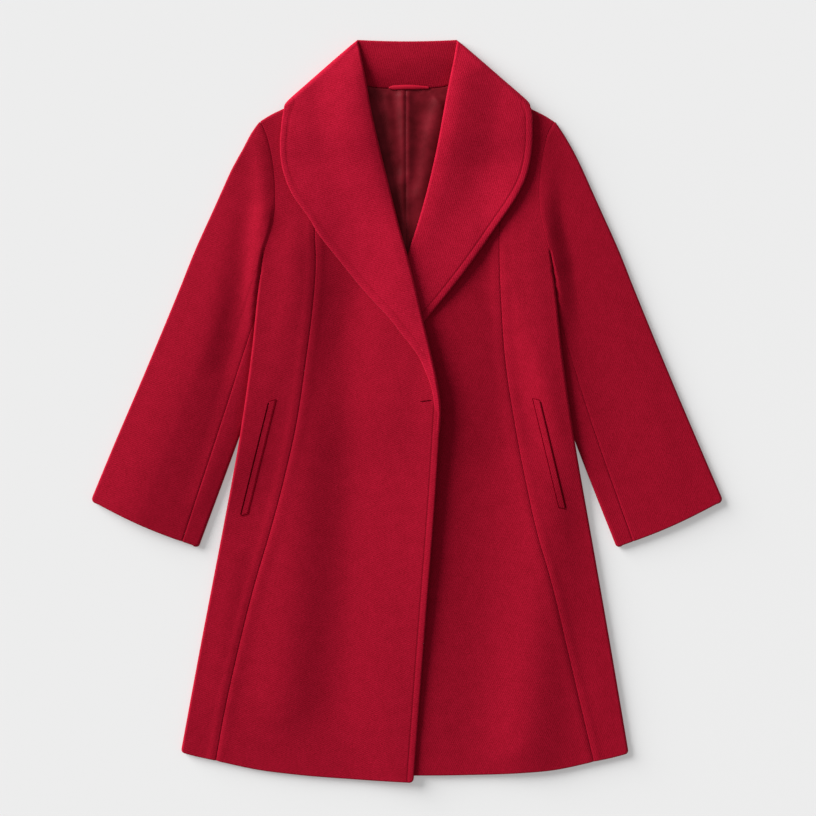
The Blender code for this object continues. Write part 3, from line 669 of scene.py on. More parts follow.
def wool_material(name, colours):
    """Felted wool: a cloudy colour, faint diagonal ribs, short fibres, a soft sheen and painted shade along
    the stitched line.
    """
    dark, light, stitch = colours
    made, tree, surface = shader(name, 0.88, 0.05)
    weave = weave_of(tree)
    clouds = noise(tree, weave, CLOUDS, 2)
    streaks = noise(tree, scaled(tree, weave, STREAKS, RIB_ANGLE), 1, 2)
    fibres = noise(tree, scaled(tree, weave, FIBRES, FIBRE_ANGLE), 1, 3, 0.75)
    wave = {"Vector": scaled(tree, weave, RIBS, RIB_ANGLE), "Scale": 1}
    wave |= {"Distortion": 2.0, "Detail": 2, "Detail Scale": 1.5}
    ribs = add(tree, "ShaderNodeTexWave", wave).outputs["Fac"]
    grain = weighted(tree, (fibres, 0.55), (streaks, 0.45))
    tone = weighted(tree, (grain, 0.82), (clouds, 0.12), (ribs, 0.06))
    colour = mixed(tree, ranged(tree, tone, 0.36, 0.64), dark, light)
    # Painted shade: along the stitched line's groove the colour goes towards the darker stitch colour.
    from_edge = add(tree, "ShaderNodeAttribute", {}, attribute_name="from_edge").outputs["Fac"]
    off_line = maths(tree, "ABSOLUTE", maths(tree, "SUBTRACT", from_edge, STITCH_IN), 0)
    stitch_shade_share = ranged(tree, off_line, 0.0, STITCH_SHADE, STITCH_SHARE, 0.0)
    feed(tree, surface.inputs["Base Color"], mixed(tree, stitch_shade_share, colour, stitch))
    bumped(tree, surface, weighted(tree, (grain, 1.0), (ribs, 0.2)), 0.75, 0.0007)
    surface.inputs["Sheen Weight"].default_value = 0.17
    surface.inputs["Sheen Roughness"].default_value = 0.4
    surface.inputs["Sheen Tint"].default_value = (1.0, 0.16, 0.28, 1)
    return made


def satin_material():
    """Satin lining: a fine diagonal weave with a soft shine along its threads."""
    made, tree, surface = shader("satin_lining", 0.44, 0.08)
    weave = weave_of(tree)
    clouds = ranged(tree, noise(tree, weave, SATIN_CLOUDS, 3), 0.35, 0.65)
    feed(tree, surface.inputs["Base Color"], mixed(tree, clouds, *SATIN_COLOURS))
    threads = noise(tree, scaled(tree, weave, THREADS, THREAD_ANGLE), 1, 2)
    bumped(tree, surface, threads, 0.25, 0.0004)
    return made


def plain_cloth(name, colour, roughness, specular):
    """A plain fine weave, for small pieces: the hanger loop, and the strips of painted shade."""
    made, tree, surface = shader(name, roughness, specular)
    surface.inputs["Base Color"].default_value = colour
    bumped(tree, surface, noise(tree, weave_of(tree), PLAIN_THREADS, 2), 0.3, 0.0004)
    return made


def floor_material():
    made, _, surface = shader("pale_floor", 0.9, 0.1)
    surface.inputs["Base Color"].default_value = (0.56, 0.56, 0.56, 1)
    surface.inputs["Emission Color"].default_value = (1, 1, 1, 1)
    surface.inputs["Emission Strength"].default_value = 0.25
    return made


WOOL = wool_material("wool_coating", WOOL_COLOURS)
# Painted light: the lighter copy of the wool, for the collar's wings.
COLLAR_LIT_WOOL = wool_material("wool_collar_lit", COLLAR_LIT_COLOURS)
SATIN = satin_material()
LOOP_CLOTH = plain_cloth("loop_satin", (0.40, 0.006, 0.024, 1), 0.5, 0.06)
# Painted shade: a near-black cloth for the strips in the pocket mouths and the buttonhole slit, where there
# is only shade.
SLIT_SHADE = plain_cloth("pocket_shade", (0.045, 0.0006, 0.002, 1), 0.9, 0.0)
# Painted shade: a dark cloth for the strips in the grooves round the pocket welts.
SEAM_SHADE = plain_cloth("seam_shade", (0.125, 0.0008, 0.005, 1), 0.9, 0.0)


def wool(node, grid, turn, thickness=CLOTH, material=WOOL, away=None):
    """The shell of a piece of wool, named after its node."""
    shell(f"{node}_wool", node, grid, thickness, material, turn, away)


# The body.

SIDE_LEG, SIDE_LEG_GROWTH, SIDE_STEPS = 5.5, 8, 22
SHOULDER_LEG, SHOULDER_STEPS = 3, 12
SHOULDER_FADE, HEM_FADE = 12, 8
SIDE_TAIL = np.pi * FOLD_RADIUS + SIDE_LEG
FOLD_INSET = FOLD_RADIUS + CLOTH / 2
# A distance measured square to the slanting shoulder, as a difference in y.
SHOULDER_SLOPE = 1.09
BODY_ROWS, CENTRE_COLUMNS, SIDE_COLUMNS = 230, 46, 34
# Radius of the corners at the hem and the cuffs. The last rows' distances from those ends: as shares of the
# body's last level, and a quarter of them as shares of a sleeve's length.
CORNER_RADIUS = 5
LAST_ROWS = np.array((0.058, 0.04, 0.026, 0.016, 0.009, 0.004, 0))


def hem_at(side, edge):
    return hem[side](edge[side](HEM_Y))


def levels(column, last):
    """Heights of the fine rows along one edge of a panel."""
    marks = [(k, row[column]) for k, row in enumerate(ROWS)] + [(len(ROWS), last)]
    even = np.linspace(0, len(ROWS), BODY_ROWS)
    return curve(marks)(np.append(even[:-2], len(ROWS) - LAST_ROWS))


def side_turn(y):
    return np.pi * eased(y, SIDE_TURN_Y, SIDE_FOLD_Y - SIDE_TURN_Y)


def shoulder_fold(top_row):
    """Rows that carry a front round the shoulder and down to the back's level, last row first."""
    length = np.pi * FOLD_RADIUS + SHOULDER_LEG
    out, down, _ = turned_strip(np.pi, FOLD_RADIUS, SHOULDER_LEG, length, SHOULDER_STEPS)
    out, down = out[1:], down[1:]
    along = np.gradient(top_row, axis=0)
    upward = unit(points(-along[:, 1], along[:, 0]))
    upward *= np.sign(upward[:, 1:2])
    return [top_row + upward * o - (0, 0, d) for o, d in zip(out[::-1], down[::-1])]


def rounded_in(from_end):
    """How far an edge is drawn in at this distance from its end, so that the corner is round."""
    left = CORNER_RADIUS - np.clip(from_end, 0, CORNER_RADIUS)
    return CORNER_RADIUS - np.sqrt(CORNER_RADIUS**2 - left**2)


def front_panel(side, edges, ys, shares, turned):
    """A front from its inner to its outer edge, with the shoulder's fold above it."""
    inner = points(side * (edges[0](ys[0]) - (SEAM_PRESS / 2 if turned else 0)), ys[0])
    outer = points(side * (edges[1](ys[1]) + SEAM_PRESS / 2), ys[1])
    rounded, drawn = (outer, -side) if turned else (inner, side)
    rounded[:, 0] += drawn * rounded_in(rounded[:, 1] - rounded[-1, 1])

    def bend(share, down):
        x_top, y_top = lerp(inner[0], outer[0], share[:, None])[:, :2].T
        x_low, y_low = lerp(inner[-1], outer[-1], share[:, None])[:, :2].T
        top = shoulder(np.abs(x_top)) - FOLD_INSET * SHOULDER_SLOPE - y_top
        low = hem[side](side * x_low) - y_low
        return top * (1 - down) ** SHOULDER_FADE + low * down**HEM_FADE

    grid = []
    for a, b in zip(inner, outer):
        width = np.linalg.norm(b - a)
        towards = (b - a) / width
        drop = np.zeros(0)
        run = shares(width) * width
        if turned:
            turn = side_turn(b[1])
            leg = SIDE_LEG * eased(turn, np.pi / 2, np.pi / 2) ** SIDE_LEG_GROWTH
            out, drop, reach = turned_strip(turn, FOLD_RADIUS, leg, SIDE_TAIL, SIDE_STEPS)
            start = width - reach - CLOTH / 2 * np.sin(min(turn, np.pi / 2))
            run = np.concatenate([run[:-1] * start / width, start + out])
        place = a + towards * run[:, None]
        share = run / width
        place[:, 1] += bend(share, (outer[0][1] - b[1]) / (outer[0][1] - outer[-1][1]))
        x, y = place[:, 0], place[:, 1]
        place[:, 2] = front_height(x, y, side) + seam_puff(x, y, side)
        if turned:
            place[len(run) - len(drop) :, 2] -= drop
        grid.append(place)
    return np.array(shoulder_fold(grid[0]) + grid)


def from_inner_edge(width):
    """Columns that are close together beside the stitched front edge."""
    near = np.array(EDGE_COLUMNS) / width
    return np.concatenate([near, np.linspace(near[-1], 1, CENTRE_COLUMNS)[1:]])


def evenly(width):
    return np.linspace(0, 1, SIDE_COLUMNS)


def fronts(side):
    edges = (body_edge, princess, front_edge)
    side_ys, seam_ys, front_ys = (levels(k, hem_at(side, edge)) for k, edge in enumerate(edges))
    name = f"front_{NAMES[side]}"
    inner = (lambda y: gorge(y, side), princess[side])
    grid = front_panel(side, inner, (front_ys, seam_ys), from_inner_edge, False)
    edge_ys = np.linspace(COLLAR_END_Y, HEM_Y - 2, 60)
    grid, away = stitched(grid, points(side * front_edge[side](edge_ys), edge_ys), HEM_Y - 2 * STITCH_FADE)
    wool(f"{name}_centre", grid, TURNS["centre"] * side, away=away)
    outer = (princess[side], body_edge[side])
    grid = front_panel(side, outer, (seam_ys, side_ys), evenly, True)
    wool(f"{name}_side", grid, TURNS["side"] * side)


# The step in y in which the back's edge goes from the armhole to inside the side fold.
BACK_TUCK = (ARMHOLE_END_Y, -12)


def back_edge(y, side):
    """Edge of the back: the armhole seam, then the side seam just inside the side fold."""
    below_fold = FOLD_INSET + SIDE_LEG + SEAM_GAP
    return body_edge[side](y) - lerp(SEAM_GAP / 2, below_fold, eased(y, *BACK_TUCK))


BACK_TOP_Y = 383.5
BACK_ROWS, BACK_COLUMNS = 150, 101


def back_top(distance):
    """Top of the back: the neck seam, then the hidden seam below the shoulder."""
    below_shoulder = shoulder(distance) - (FOLD_INSET + SHOULDER_LEG + 3 * SEAM_GAP) * SHOULDER_SLOPE
    return np.where(distance <= NECKLINE[-1][0], neckline(distance), below_shoulder)


def back_grid():
    widest = back_edge(BACK_TOP_Y, LEFT)
    shares = np.linspace(-1, 1, BACK_COLUMNS)
    high = back_top(widest * np.abs(shares))
    low_y = hem_at(LEFT, body_edge) + BACK_HEM_RISE
    grid = []
    for edge_y in np.linspace(BACK_TOP_Y, low_y, BACK_ROWS):
        down = (BACK_TOP_Y - edge_y) / (BACK_TOP_Y - low_y)
        distance = np.where(shares < 0, back_edge(edge_y, RIGHT), back_edge(edge_y, LEFT)) * np.abs(shares)
        low = np.maximum(hem[RIGHT](distance), hem[LEFT](distance)) + BACK_HEM_RISE
        x, y = np.sign(shares) * distance, lerp(high, low, down)
        grid.append(points(x, y, back_height(x, y)))
    return np.array(grid)


# The sleeves.


def sleeve_head(y, side):
    """How far from the middle the sleeve begins: at the armhole, then below the body."""
    at_seam = body_edge[side](y) - SEAM_PRESS
    return lerp(at_seam, sleeve_head_end(y), eased(y, *SLEEVE_TUCK))


def sleeve_plan(side):
    """A function from (across, down) to points: across is 0 at the outer fold and 1 at the inner fold."""
    outer_inset, inner_inset = FOLD_RADIUS + CLOTH / 2, SLEEVE_INNER_RADIUS + CLOTH / 2
    outer_end, inner_end = SLEEVE_OUTER[-1][0], SLEEVE_INNER[-1][0]

    def outer_fold(v):
        y = lerp(SLEEVE_OUTER[0][0] - 0.5, outer_end + 0.5, v)
        lean = sleeve_outer[side](y - 0.5) - sleeve_outer[side](y + 0.5)
        away = unit(points(side, lean)) * outer_inset
        return points(side * sleeve_outer[side](y), y) - away

    def inner_fold(v):
        y = lerp(SLEEVE_END_Y, inner_end, v)
        away = inner_inset * np.array(INNER_FOLD_SQUARE)
        return points(side * (sleeve_inner[side](y) + away[0]), y + away[1])

    def head(u):
        y = lerp(SLEEVE_TOP_Y, SLEEVE_END_Y, u)
        return points(side * sleeve_head(y, side), y)

    def cuff(u):
        place = lerp(outer_fold(1), inner_fold(1), u[..., None])
        place[..., 1] -= CUFF_BOW * np.sin(np.pi * u)
        return place

    def plan(u, v):
        u = np.asarray(u, float)
        across = u[..., None]
        between_folds = lerp(outer_fold(v), inner_fold(v), across)
        between_ends = lerp(head(u), cuff(u), v)
        corners = [lerp(outer_fold(end), inner_fold(end), across) for end in (0, 1)]
        return between_folds + between_ends - lerp(*corners, v)

    return plan


def sleeve_rise(u, side):
    """Height of the upper layer above the lower one."""
    round_folds = 2 * lerp(FOLD_RADIUS, SLEEVE_INNER_RADIUS, u)
    up = np.sin(np.pi / 2 * np.minimum(u / PUFF_PEAK, 1))
    down = np.clip((u - PUFF_PEAK) / (1 - PUFF_PEAK), 0, 1) ** PUFF_FALL
    return round_folds + SLEEVE_PUFF[side] * up * (1 - down)


def sleeve_grid(side, plan, above, fold_at, below):
    """One piece of a sleeve: over the top, round one fold and back below."""
    radius = SLEEVE_INNER_RADIUS if fold_at else FOLD_RADIUS
    angles = np.linspace(0, np.pi, 11)
    grid = []
    for v in np.append(np.linspace(0, 1, SLEEVE_ROWS)[:-2], 1 - LAST_ROWS / 4):
        edge = plan(fold_at, v)
        along = plan(fold_at, min(v + AHEAD, 1)) - plan(fold_at, max(v - AHEAD, 0))
        outward = unit(points(along[1], -along[0]))
        outward *= np.sign(outward @ (edge - plan(abs(fold_at - ASIDE), v)))
        drawn_in = rounded_in((1 - v) * SLEEVE_LENGTH)
        edge = edge - outward * drawn_in
        over, under = plan(above, v), plan(below, v)
        for layer, shares in ((over, above), (under, below)):
            kept = np.exp(-np.abs(shares - fold_at) / CORNER_REACH)
            layer[:, :2] -= outward[:2] * (drawn_in * kept)[:, None]
        past = side * over[:, 0] - body_edge[side](over[:, 1])
        own = CLOTH / 2 + sleeve_rise(above, side)
        sewn_on = at_armhole(above, over[:, 1], past, side)
        over[:, 2] = lerp(own, armhole_height(over[:, 1], side), sewn_on)
        over[:, 2] += sleeve_folds(over, above, v, past, side)
        turned = edge + outward * radius * np.sin(angles)[:, None]
        turned[:, 2] = CLOTH / 2 + radius * (1 + np.cos(angles))
        under[:, 2] = CLOTH / 2
        grid.append(np.concatenate([over, turned, under]))
    return np.array(grid)


def armhole_height(y, side):
    lower = ARMHOLE_TAIL["lower"] * eased(y, ARMHOLE_END_Y, -ARMHOLE_TAIL["lower_over"])
    return front_height(side * body_edge[side](y), y, side) - lower


def at_armhole(u, y, past, side):
    """1 where the sleeve is sewn to the armhole or lies close to the body, fading out away from there."""
    close = eased(y, *ARMHOLE_TAIL["end"]) * ramp(past / ARMHOLE_TAIL["tucked_over"])
    kept = ramp(u / FREE_OF_SEAM) * (1 - ramp(past / ARMHOLE_SPREAD[side]))
    return np.maximum(eased(y, *SEWN), close) * kept


def sleeve_folds(places, u, v, past, side):
    """The sleeve's own folds, which fade out towards its two long folds, its end and the armhole."""
    along = ramp((1 - v) / FOLDS_END["cuff"] + FOLDS_END["at_cuff"])
    from_armhole = ramp((past + 1) / FOLDS_END["armhole"])
    inside = np.sin(np.pi * u) ** FOLDS_END["bend"] * along * from_armhole
    return folds(places[:, 0], places[:, 1], SLEEVE_FOLDS[side]) * inside


def sleeves(side):
    plan = sleeve_plan(side)
    width = np.linalg.norm(plan(0, 1) - plan(1, 1))
    seam, gap = 1 - SLEEVE_SEAM_IN / width, SEAM_PRESS / 2 / width
    hind = (SLEEVE_TOP_Y - HIND_SEAM_Y) / (SLEEVE_TOP_Y - SLEEVE_END_Y)
    over = np.linspace(seam + gap, FOLD_SHARE, 56), np.linspace(seam - gap, 1 - FOLD_SHARE, 12)
    under = np.linspace(FOLD_SHARE, hind + gap, 12), np.linspace(1 - FOLD_SHARE, hind - gap, 50)
    for fold_at, piece in enumerate(("top", "under")):
        grid = sleeve_grid(side, plan, over[fold_at], fold_at, under[fold_at])
        wool(f"sleeve_{NAMES[side]}_{piece}", grid, TURNS["sleeve"] * side)


# The collar.

FOLD_CORNER = {RIGHT: (72, 495.5), LEFT: (72.5, 495.5)}
FOLD_END = {RIGHT: (160, 418.5), LEFT: (161, 418.5)}
COLLAR_LEG = 9
# At its two ends the shoulder's fold is drawn back along itself and rounded off.
FOLD_EDGE = {"over": 34, "back": 12, "rounded": 1.5}
FOLD_TOP = {"over": 20, "back": 6, "rounded": 0.9}
WING_ROWS = np.concatenate([np.linspace(0, 0.16, 36), np.linspace(0.16, 1, 190)[1:]])
WING_ROLL_TOP_Y, WING_EDGE_TOP_Y, WING_STITCH_END_Y = 493, 404.5, 40
# The roll's turn at its top, and the step in y in which it comes round. Its leg at the top, how the leg
# grows, and the least length of the turn and the leg together.
ROLL_TOP_TURN, ROLL_TURN = 0.48 * np.pi, (468, -44)
ROLL_TOP_LEG, ROLL_LEG_GROWTH, ROLL_LEAST_LENGTH = 2, 4, 8
WING_COLUMNS, ROLL_STEPS, FOLD_STEPS = 34, 36, 15
# Places tried along an edge of a wing, and rounds in which the reach back to the gorge closes in.
EDGE_PLACES, REACH_ROUNDS = 6000, 12
# A wing rises from its outer edge to its roll: a share evenly, the rest in a soft step, and all of it evenly
# lower down.
WING_RISE = {"even": 0.42, "rest": (0.40, 0.46), "all_even": (410, -160)}
# At the top of the roll the wing comes down to the height of the stand, over this distance.
CORNER_DROP = {"depth": 6.2, "over": 46, "bend": 1.5}


def by_length(of, top, bottom, side):
    """The points where the wing's rows meet an edge that is a function of y."""
    ys = np.linspace(top, bottom, EDGE_PLACES)
    line = points(side * of(ys), ys)
    run = np.concatenate([[0], np.cumsum(np.linalg.norm(np.diff(line, axis=0), axis=1))])
    at = np.interp(WING_ROWS * run[-1], run, ys)
    return points(side * of(at), at)


def reach_to_gorge(at_roll, towards, side):
    """How far back from the roll, along the row, the front's own edge lies."""
    reach = roll_leg(at_roll[1])
    for _ in range(REACH_ROUNDS):
        end = at_roll - towards * reach
        beyond = side * end[0] - roll[side](end[1]) - roll_leg(end[1])
        reach -= beyond / abs(towards[0])
    return reach


def wing_rise(share, roll_y):
    even = lerp(WING_RISE["even"], 1, eased(roll_y, *WING_RISE["all_even"]))
    return even * share + (1 - even) * eased(share, *WING_RISE["rest"])


def wing_curve(run, whole, lift, edge_y, side):
    """Height added across a wing: down towards its roll, up towards its outer edge."""
    length, height = ROLL_CURVE[side]
    down = height * min(lift / ROLL_CURVE_LIFT, 1) * np.clip(1 - (whole - run) / length, 0, 1) ** 2
    height, length = EDGE_LIFT[side]
    up = height * np.exp(-((run / length) ** 2)) * eased(edge_y, *EDGE_LIFT_FROM)
    return up - down


def wing_row(at_roll, at_edge, side):
    """One row of a wing, from its outer edge to the roll, then round it and back to the front's edge."""
    towards = unit(at_roll - at_edge)
    lift = roll_rise[side](at_roll[1])
    share_turned = eased(at_roll[1], *ROLL_TURN)
    reach_back = reach_to_gorge(at_roll, towards, side)
    end = at_roll - towards * reach_back
    above_end = wing_height(*at_roll[:2], side, lift) - 2 * ROLL_RADIUS - front_height(*end[:2], side)
    slope = np.arctan2(above_end, reach_back - ROLL_RADIUS - COLLAR_CLOTH / 2)
    turn = lerp(ROLL_TOP_TURN, np.pi - slope, share_turned)
    bend_run = ROLL_RADIUS * (1 - np.sin(slope)) + COLLAR_CLOTH / 2 * (1 + np.sin(slope)) + SEAM_GAP / 2
    leg = lerp(ROLL_TOP_LEG, (reach_back - bend_run) / np.cos(slope), share_turned**ROLL_LEG_GROWTH)
    length = max(ROLL_RADIUS * turn + leg, ROLL_LEAST_LENGTH)
    out, drop, reach = turned_strip(turn, ROLL_RADIUS, leg, length, ROLL_STEPS)
    thick = COLLAR_CLOTH / 2 * np.sin(min(turn, np.pi / 2))
    whole = np.linalg.norm(at_roll - at_edge)
    width = whole - reach - thick
    near = np.array(EDGE_COLUMNS) * min(1, width / (2 * EDGE_COLUMNS[-1]))
    run = np.concatenate([near, np.linspace(near[-1], width, WING_COLUMNS)[1:-1]])
    flat = at_edge + towards * run[:, None]
    share = run / width
    curved = wing_curve(run, whole, lift, at_edge[1], side)
    flat[:, 2] = wing_height(flat[:, 0], flat[:, 1], side, lift * wing_rise(share, at_roll[1]) + curved)
    start = at_edge + towards * width
    bent = start + towards * out[:, None]
    curved = wing_curve(np.minimum(width + out, whole), whole, lift, at_edge[1], side)
    bent[:, 2] = wing_height(*start[:2], side, lift + curved) - drop
    return np.concatenate([flat, bent])


def wing(side):
    """The collar's front part: below at the shoulder, round its fold, then down to the front edge."""
    at_rolls = by_length(roll[side], WING_ROLL_TOP_Y, WING_END_Y, side)
    at_edges = by_length(collar_edge[side], WING_EDGE_TOP_Y, WING_END_Y, side)
    top = [wing_row(a, b, side) for a, b in zip(at_rolls, at_edges)]
    corner = points(side * FOLD_CORNER[side][0], FOLD_CORNER[side][1])
    end = points(side * FOLD_END[side][0], FOLD_END[side][1])
    along = unit(end - corner)
    outward = points(-along[1], along[0])
    outward = outward * np.sign(outward[1])
    floor = COLLAR_CLOTH / 2
    first = top[0]
    radius = (first[:, 2:] - floor) / 2
    base = corner + along * ((first - corner) @ along)[:, None] - outward * (radius + COLLAR_CLOTH / 2)
    run = np.concatenate([[0], np.cumsum(np.linalg.norm(np.diff(first[:, :2], axis=0), axis=1))])
    drawn = 0
    for drawing, away in ((FOLD_EDGE, run), (FOLD_TOP, run[-1] - run)):
        near = np.clip(1 - away / drawing["over"], 0, 1)[:, None] ** 2
        drawn = drawn + along * drawing["back"] * near + outward * drawing["rounded"] * near**2
    wrapped = []
    for angle in np.linspace(0, np.pi, FOLD_STEPS)[1:]:
        row = base + outward * radius * np.sin(angle) - drawn * np.sin(angle / 2)
        row[:, 2] = floor + radius[:, 0] * (1 + np.cos(angle))
        wrapped.append(row)
    leg = [wrapped[-1] - outward * COLLAR_LEG * share for share in (1, 0.5)]
    grid = np.array(leg + wrapped[::-1] + top)
    ys = np.linspace(WING_EDGE_TOP_Y, WING_END_Y, 160)
    edge = np.concatenate([[wrapped[len(wrapped) // 2][0]], points(side * collar_edge[side](ys), ys)])
    grid, away = stitched(grid, edge, WING_STITCH_END_Y)
    wool(f"collar_{NAMES[side]}", grid, TURNS["wing"] * side, COLLAR_CLOTH, COLLAR_LIT_WOOL, away)


# Half width of the stand, then of the fall behind it. Columns: y, half width.
STAND_WIDTH = ((434, 62), (447, 66), (458, 72), (480, 72), (490, 70), (497, 68))
FALL_WIDTH = ((497, 65.5), (484, 57.5), (418, 130.5), (402, 134), (385, 131))
COLLAR_TOP_Y = 499.9
STAND_DIP, STAND_PUFF = 2, 3.5
STAND_ROWS, TURN_ROWS, FALL_ROWS, BACK_COLLAR_COLUMNS = 26, 12, 40, 81


def collar_back():
    """The collar behind the neck: the stand, its turn at the top, and the fall below, on the ground."""
    stand_width, fall_width = curve(STAND_WIDTH), curve(FALL_WIDTH)
    shares = np.linspace(-1, 1, BACK_COLLAR_COLUMNS)
    round_share = 1 - shares**2
    floor = COLLAR_CLOTH / 2
    top_y = COLLAR_TOP_Y - COLLAR_CLOTH / 2 - ROLL_RADIUS
    grid = []
    for v in np.linspace(0, 1, STAND_ROWS):
        x = shares * stand_width(lerp(NECKLINE[0][1], top_y, v))
        y = lerp(neckline(np.abs(x)) + SEAM_GAP, top_y - STAND_DIP * round_share, v)
        grid.append(points(x, y, floor + 2 * ROLL_RADIUS + STAND_PUFF * np.sin(np.pi * v) * round_share))
    for angle in np.linspace(0, np.pi, TURN_ROWS)[1:]:
        y = top_y - STAND_DIP * round_share + ROLL_RADIUS * np.sin(angle)
        grid.append(points(shares * stand_width(top_y), y, floor + ROLL_RADIUS * (1 + np.cos(angle))))
    for v in np.linspace(0, 1, FALL_ROWS)[1:]:
        y = lerp(top_y - STAND_DIP * round_share, FALL_Y + FALL_BOW * shares**2, v)
        grid.append(points(shares * fall_width(y), y, floor))
    wool("collar_back", np.array(grid), TURNS["stand"], COLLAR_CLOTH)


# The lining, the loop and the pockets.

LINING_SEAM_X = -1.4
LINING_WIDTH, LINING_LOW_Y, LINING_BELOW_SEAM = 62, 128, 0.2
LINING_ROWS, LINING_COLUMNS = 200, 60
# Wrinkles of the lining, as the folds of the fronts.
LINING_FOLDS = (
    (30, 1.6, ((406, 90), (407, 250))),
    (7.5, 4.4, ((404, 98), (406, 130), (406, 175))),
    (5, 2.0, ((403, 185), (405, 250))),
    (9, 4.0, ((440, 104), (433, 130), (428, 160), (421, 195))),
    (5, 1.2, ((387, 98), (391, 130), (396, 160))),
    (3, 1.2, ((424, 93), (433, 97), (441, 107))),
    (2.5, 1.0, ((431, 92), (440, 94), (447, 99))),
    (3, 1.0, ((370, 92), (376, 99), (380, 112))),
    (2.0, -1.4, ((406, 90), (406, 250))),
)


def lining(side):
    """One half of the lining behind the neck opening, lying on the back."""
    share = np.linspace(0, 1, LINING_COLUMNS)
    distance = share * LINING_WIDTH
    high = neckline(distance) - LINING_BELOW_SEAM
    x = np.where(share == 0, LINING_SEAM_X + side * SEAM_GAP / 2, side * distance)
    grid = []
    for v in np.linspace(0, 1, LINING_ROWS):
        y = lerp(high, LINING_LOW_Y, v)
        rest = back_height(x, y) + (CLOTH + LINING_CLOTH) / 2 + SEAM_GAP
        grid.append(points(x, y, rest + folds(x, y, LINING_FOLDS)))
    name = f"lining_{NAMES[side]}"
    shell(f"{name}_satin", name, np.array(grid), LINING_CLOTH, SATIN)


LOOP = {"from_x": -24.5, "to_x": 29.5, "y": 434.3, "width": 6, "cloth": 1.6, "arch": 1.8}
LOOP |= {"round": 1.0, "bow": 0.8, "full_from": 0.12, "narrow_from": 0.55, "narrow": 0.55}
WELT = {"width": 8.8, "cloth": 1.8, "slant": 0.24, "proud": -0.6}
# Middle line of each welt, in the photograph's pixels.
WELT_LINE = {RIGHT: ((273, 400.4), (244.5, 514.6)), LEFT: ((535.6, 399.3), (561.7, 508))}
# The thin dark strips of painted shade in a slit or a groove: their cloth, and how far they stand above the
# coat's.
SHADE_STRIP_CLOTH, SHADE_STRIP_RISE, SLIT_RISE = 0.5, 0.3, 0.1
# Strips of painted shade at a pocket: the width of the one in the mouth, how far beside the welt it lies, and
# the width of the one in the groove round the welt.
MOUTH_SHADE = {"width": 1.6, "beside": 0.7, "seam_width": 0.9}
POCKET_ROWS, GROOVE_STEPS = 90, 24
# Slit in the right front's edge, shown by a strip of painted shade: its ends in the photograph's pixels, its
# width in millimetres, and its blunt ends.
BUTTONHOLE = ((420, 401.6), (431.6, 400.3))
BUTTONHOLE_WIDTH, BUTTONHOLE_BLUNT = 1.3, 0.3


def hanger_loop():
    """A strip across the neck seam: full at its left end, narrower to the right, and arched a little."""
    rest = OVER_FALL["lift"] + CLOTH + RESTING_GAP + LINING_CLOTH + SEAM_GAP + LOOP["cloth"] / 2
    share = np.linspace(0, 1, 61)
    narrowed = eased(share, LOOP["narrow_from"], 1 - LOOP["narrow_from"])
    full = np.sqrt(np.clip(share / LOOP["full_from"], 0, 1))
    width = LOOP["width"] * full * lerp(1, LOOP["narrow"], narrowed)
    x = lerp(LOOP["from_x"], LOOP["to_x"], share)
    grid = []
    for across in np.linspace(-0.5, 0.5, 13):
        z = rest + LOOP["arch"] * np.sin(np.pi * share) + LOOP["round"] * np.cos(np.pi * across)
        grid.append(points(x, LOOP["y"] + LOOP["bow"] * np.sin(np.pi * share) + across * width, z))
    shell("hanger_loop_cloth", "hanger_loop", np.array(grid), LOOP["cloth"], LOOP_CLOTH)


def pocket_points(side, across, down, rise):
    """Points above the side front: across the pocket's line towards the side seam, and a share down it."""
    (top_x, top_y), (low_x, low_y) = (plan_of(pixel) for pixel in WELT_LINE[side])
    x, y = lerp(top_x, low_x, down) + side * across, lerp(top_y, low_y, down) - across * WELT["slant"]
    return points(x, y, front_height(x, y, side) + CLOTH / 2 + rise)


def along_pocket(side, middle, width, rise, columns):
    """A narrow strip along the pocket, beside its line by a distance towards the side seam."""
    across, down = np.linspace(-0.5, 0.5, columns) * width, np.linspace(0, 1, POCKET_ROWS)[:, None]
    return pocket_points(side, middle + across, down, rise)


def round_welt(side, beside, width):
    """A narrow strip of painted shade in the groove round the other three sides of the welt."""
    towards = lerp(beside, -beside, np.linspace(0, 1, GROOVE_STEPS))
    across = np.concatenate([towards, np.full(3 * GROOVE_STEPS, -beside), towards[::-1]])
    down = np.linspace(0, 1, 3 * GROOVE_STEPS + 2)[1:-1]
    down = np.concatenate([np.zeros(GROOVE_STEPS), down, np.ones(GROOVE_STEPS)])
    line = pocket_points(side, across, down, 0)[:, :2]
    along = unit(np.gradient(line, axis=0))
    offset = np.linspace(-0.5, 0.5, 5)[:, None] * width
    x, y = line[:, 0] - offset * along[:, 1], line[:, 1] + offset * along[:, 0]
    return points(x, y, front_height(x, y, side) + CLOTH / 2 + SHADE_STRIP_RISE)


def pocket(side):
    """A welt sewn on beside the pocket's mouth, a strip of painted shade in the mouth, and a strip of painted
    shade in the groove round the welt.
    """
    name = f"pocket_welt_{NAMES[side]}"
    welt = along_pocket(side, 0, WELT["width"], WELT["proud"], 13)
    wool(name, welt, TURNS["welt"] * side, WELT["cloth"])
    beside = WELT["width"] / 2 + MOUTH_SHADE["beside"]
    mouth = along_pocket(side, beside, MOUTH_SHADE["width"], SHADE_STRIP_RISE, 5)[1:-1]
    groove = round_welt(side, beside, MOUTH_SHADE["seam_width"])
    shell(f"pocket_mouth_shade_{NAMES[side]}", None, mouth, SHADE_STRIP_CLOTH, SLIT_SHADE)
    shell(f"pocket_seam_shade_{NAMES[side]}", None, groove, SHADE_STRIP_CLOTH, SEAM_SHADE)
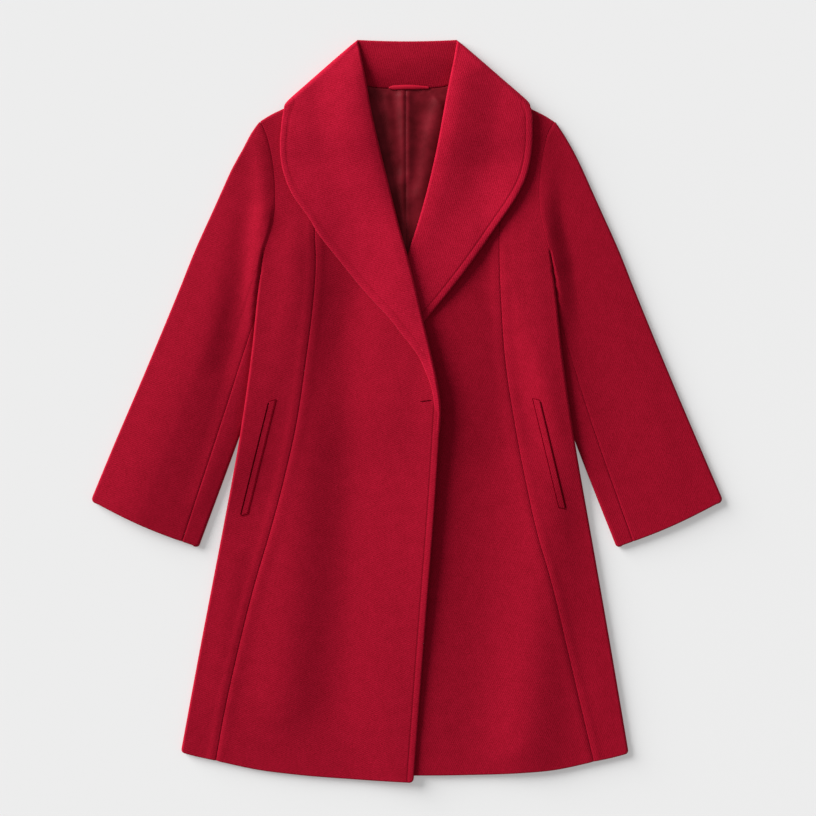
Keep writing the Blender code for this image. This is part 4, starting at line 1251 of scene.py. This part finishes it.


# Painted shade: a near-black strip along the buttonhole's slit, narrowing to its ends.
def buttonhole():
    start, end = (np.array(plan_of(pixel)) for pixel in BUTTONHOLE)
    share = np.linspace(0, 1, 21)
    x, y = lerp(start, end, share[:, None]).T
    width = BUTTONHOLE_WIDTH * np.sin(np.pi * share) ** BUTTONHOLE_BLUNT
    grid = []
    for across in np.linspace(-0.5, 0.5, 5):
        row_y = y + across * width
        grid.append(points(x, row_y, front_height(x, row_y, RIGHT) + CLOTH / 2 + SLIT_RISE))
    shell("buttonhole_slit_shade", None, np.array(grid), SHADE_STRIP_CLOTH, SLIT_SHADE)


# The stage.

CAMERA_HEIGHT, LENS, SENSOR = 3060, 100, 36
FLOOR_SIZE, FLOOR_Z = 8, -0.0003
# Light of the studio: a broad low source from the upper left, and an even white surround.
KEY_RISE, KEY_TURN, KEY_SPREAD = np.radians((14, 33, 44))
KEY_STRENGTH, SURROUND = 9.2, 0.33


def key_light():
    made = bpy.data.objects.new("key", bpy.data.lights.new("key", "SUN"))
    made.data.energy, made.data.angle = KEY_STRENGTH, KEY_SPREAD
    level = np.cos(KEY_RISE)
    to_light = (-level * np.cos(KEY_TURN), level * np.sin(KEY_TURN), np.sin(KEY_RISE))
    made.rotation_mode = "QUATERNION"
    made.rotation_quaternion = Vector(to_light).to_track_quat("Z", "Y")
    bpy.context.scene.collection.objects.link(made)


def stage():
    scene = bpy.context.scene
    bpy.ops.mesh.primitive_plane_add(size=FLOOR_SIZE, location=(0, 0, FLOOR_Z))
    floor = bpy.context.object
    floor.name = "floor"
    floor.data.materials.append(floor_material())
    camera = bpy.data.objects.new("camera", bpy.data.cameras.new("camera"))
    camera.data.lens, camera.data.sensor_width = LENS, SENSOR
    x, y = plan_of((PHOTO_SIZE / 2, PHOTO_SIZE / 2))
    camera.location = (x * MM, y * MM, CAMERA_HEIGHT * MM)
    scene.collection.objects.link(camera)
    scene.camera = camera
    key_light()
    scene.world = bpy.data.worlds.new("studio")
    scene.world.use_nodes = True
    background = scene.world.node_tree.nodes["Background"]
    background.inputs["Color"].default_value = (1, 1, 1, 1)
    background.inputs["Strength"].default_value = SURROUND
    scene.view_settings.view_transform = "Standard"


def main():
    wool("back", back_grid(), TURNS["back"])
    collar_back()
    hanger_loop()
    for side in (RIGHT, LEFT):
        fronts(side)
        sleeves(side)
        wing(side)
        lining(side)
        pocket(side)
    buttonhole()
    stage()


main()
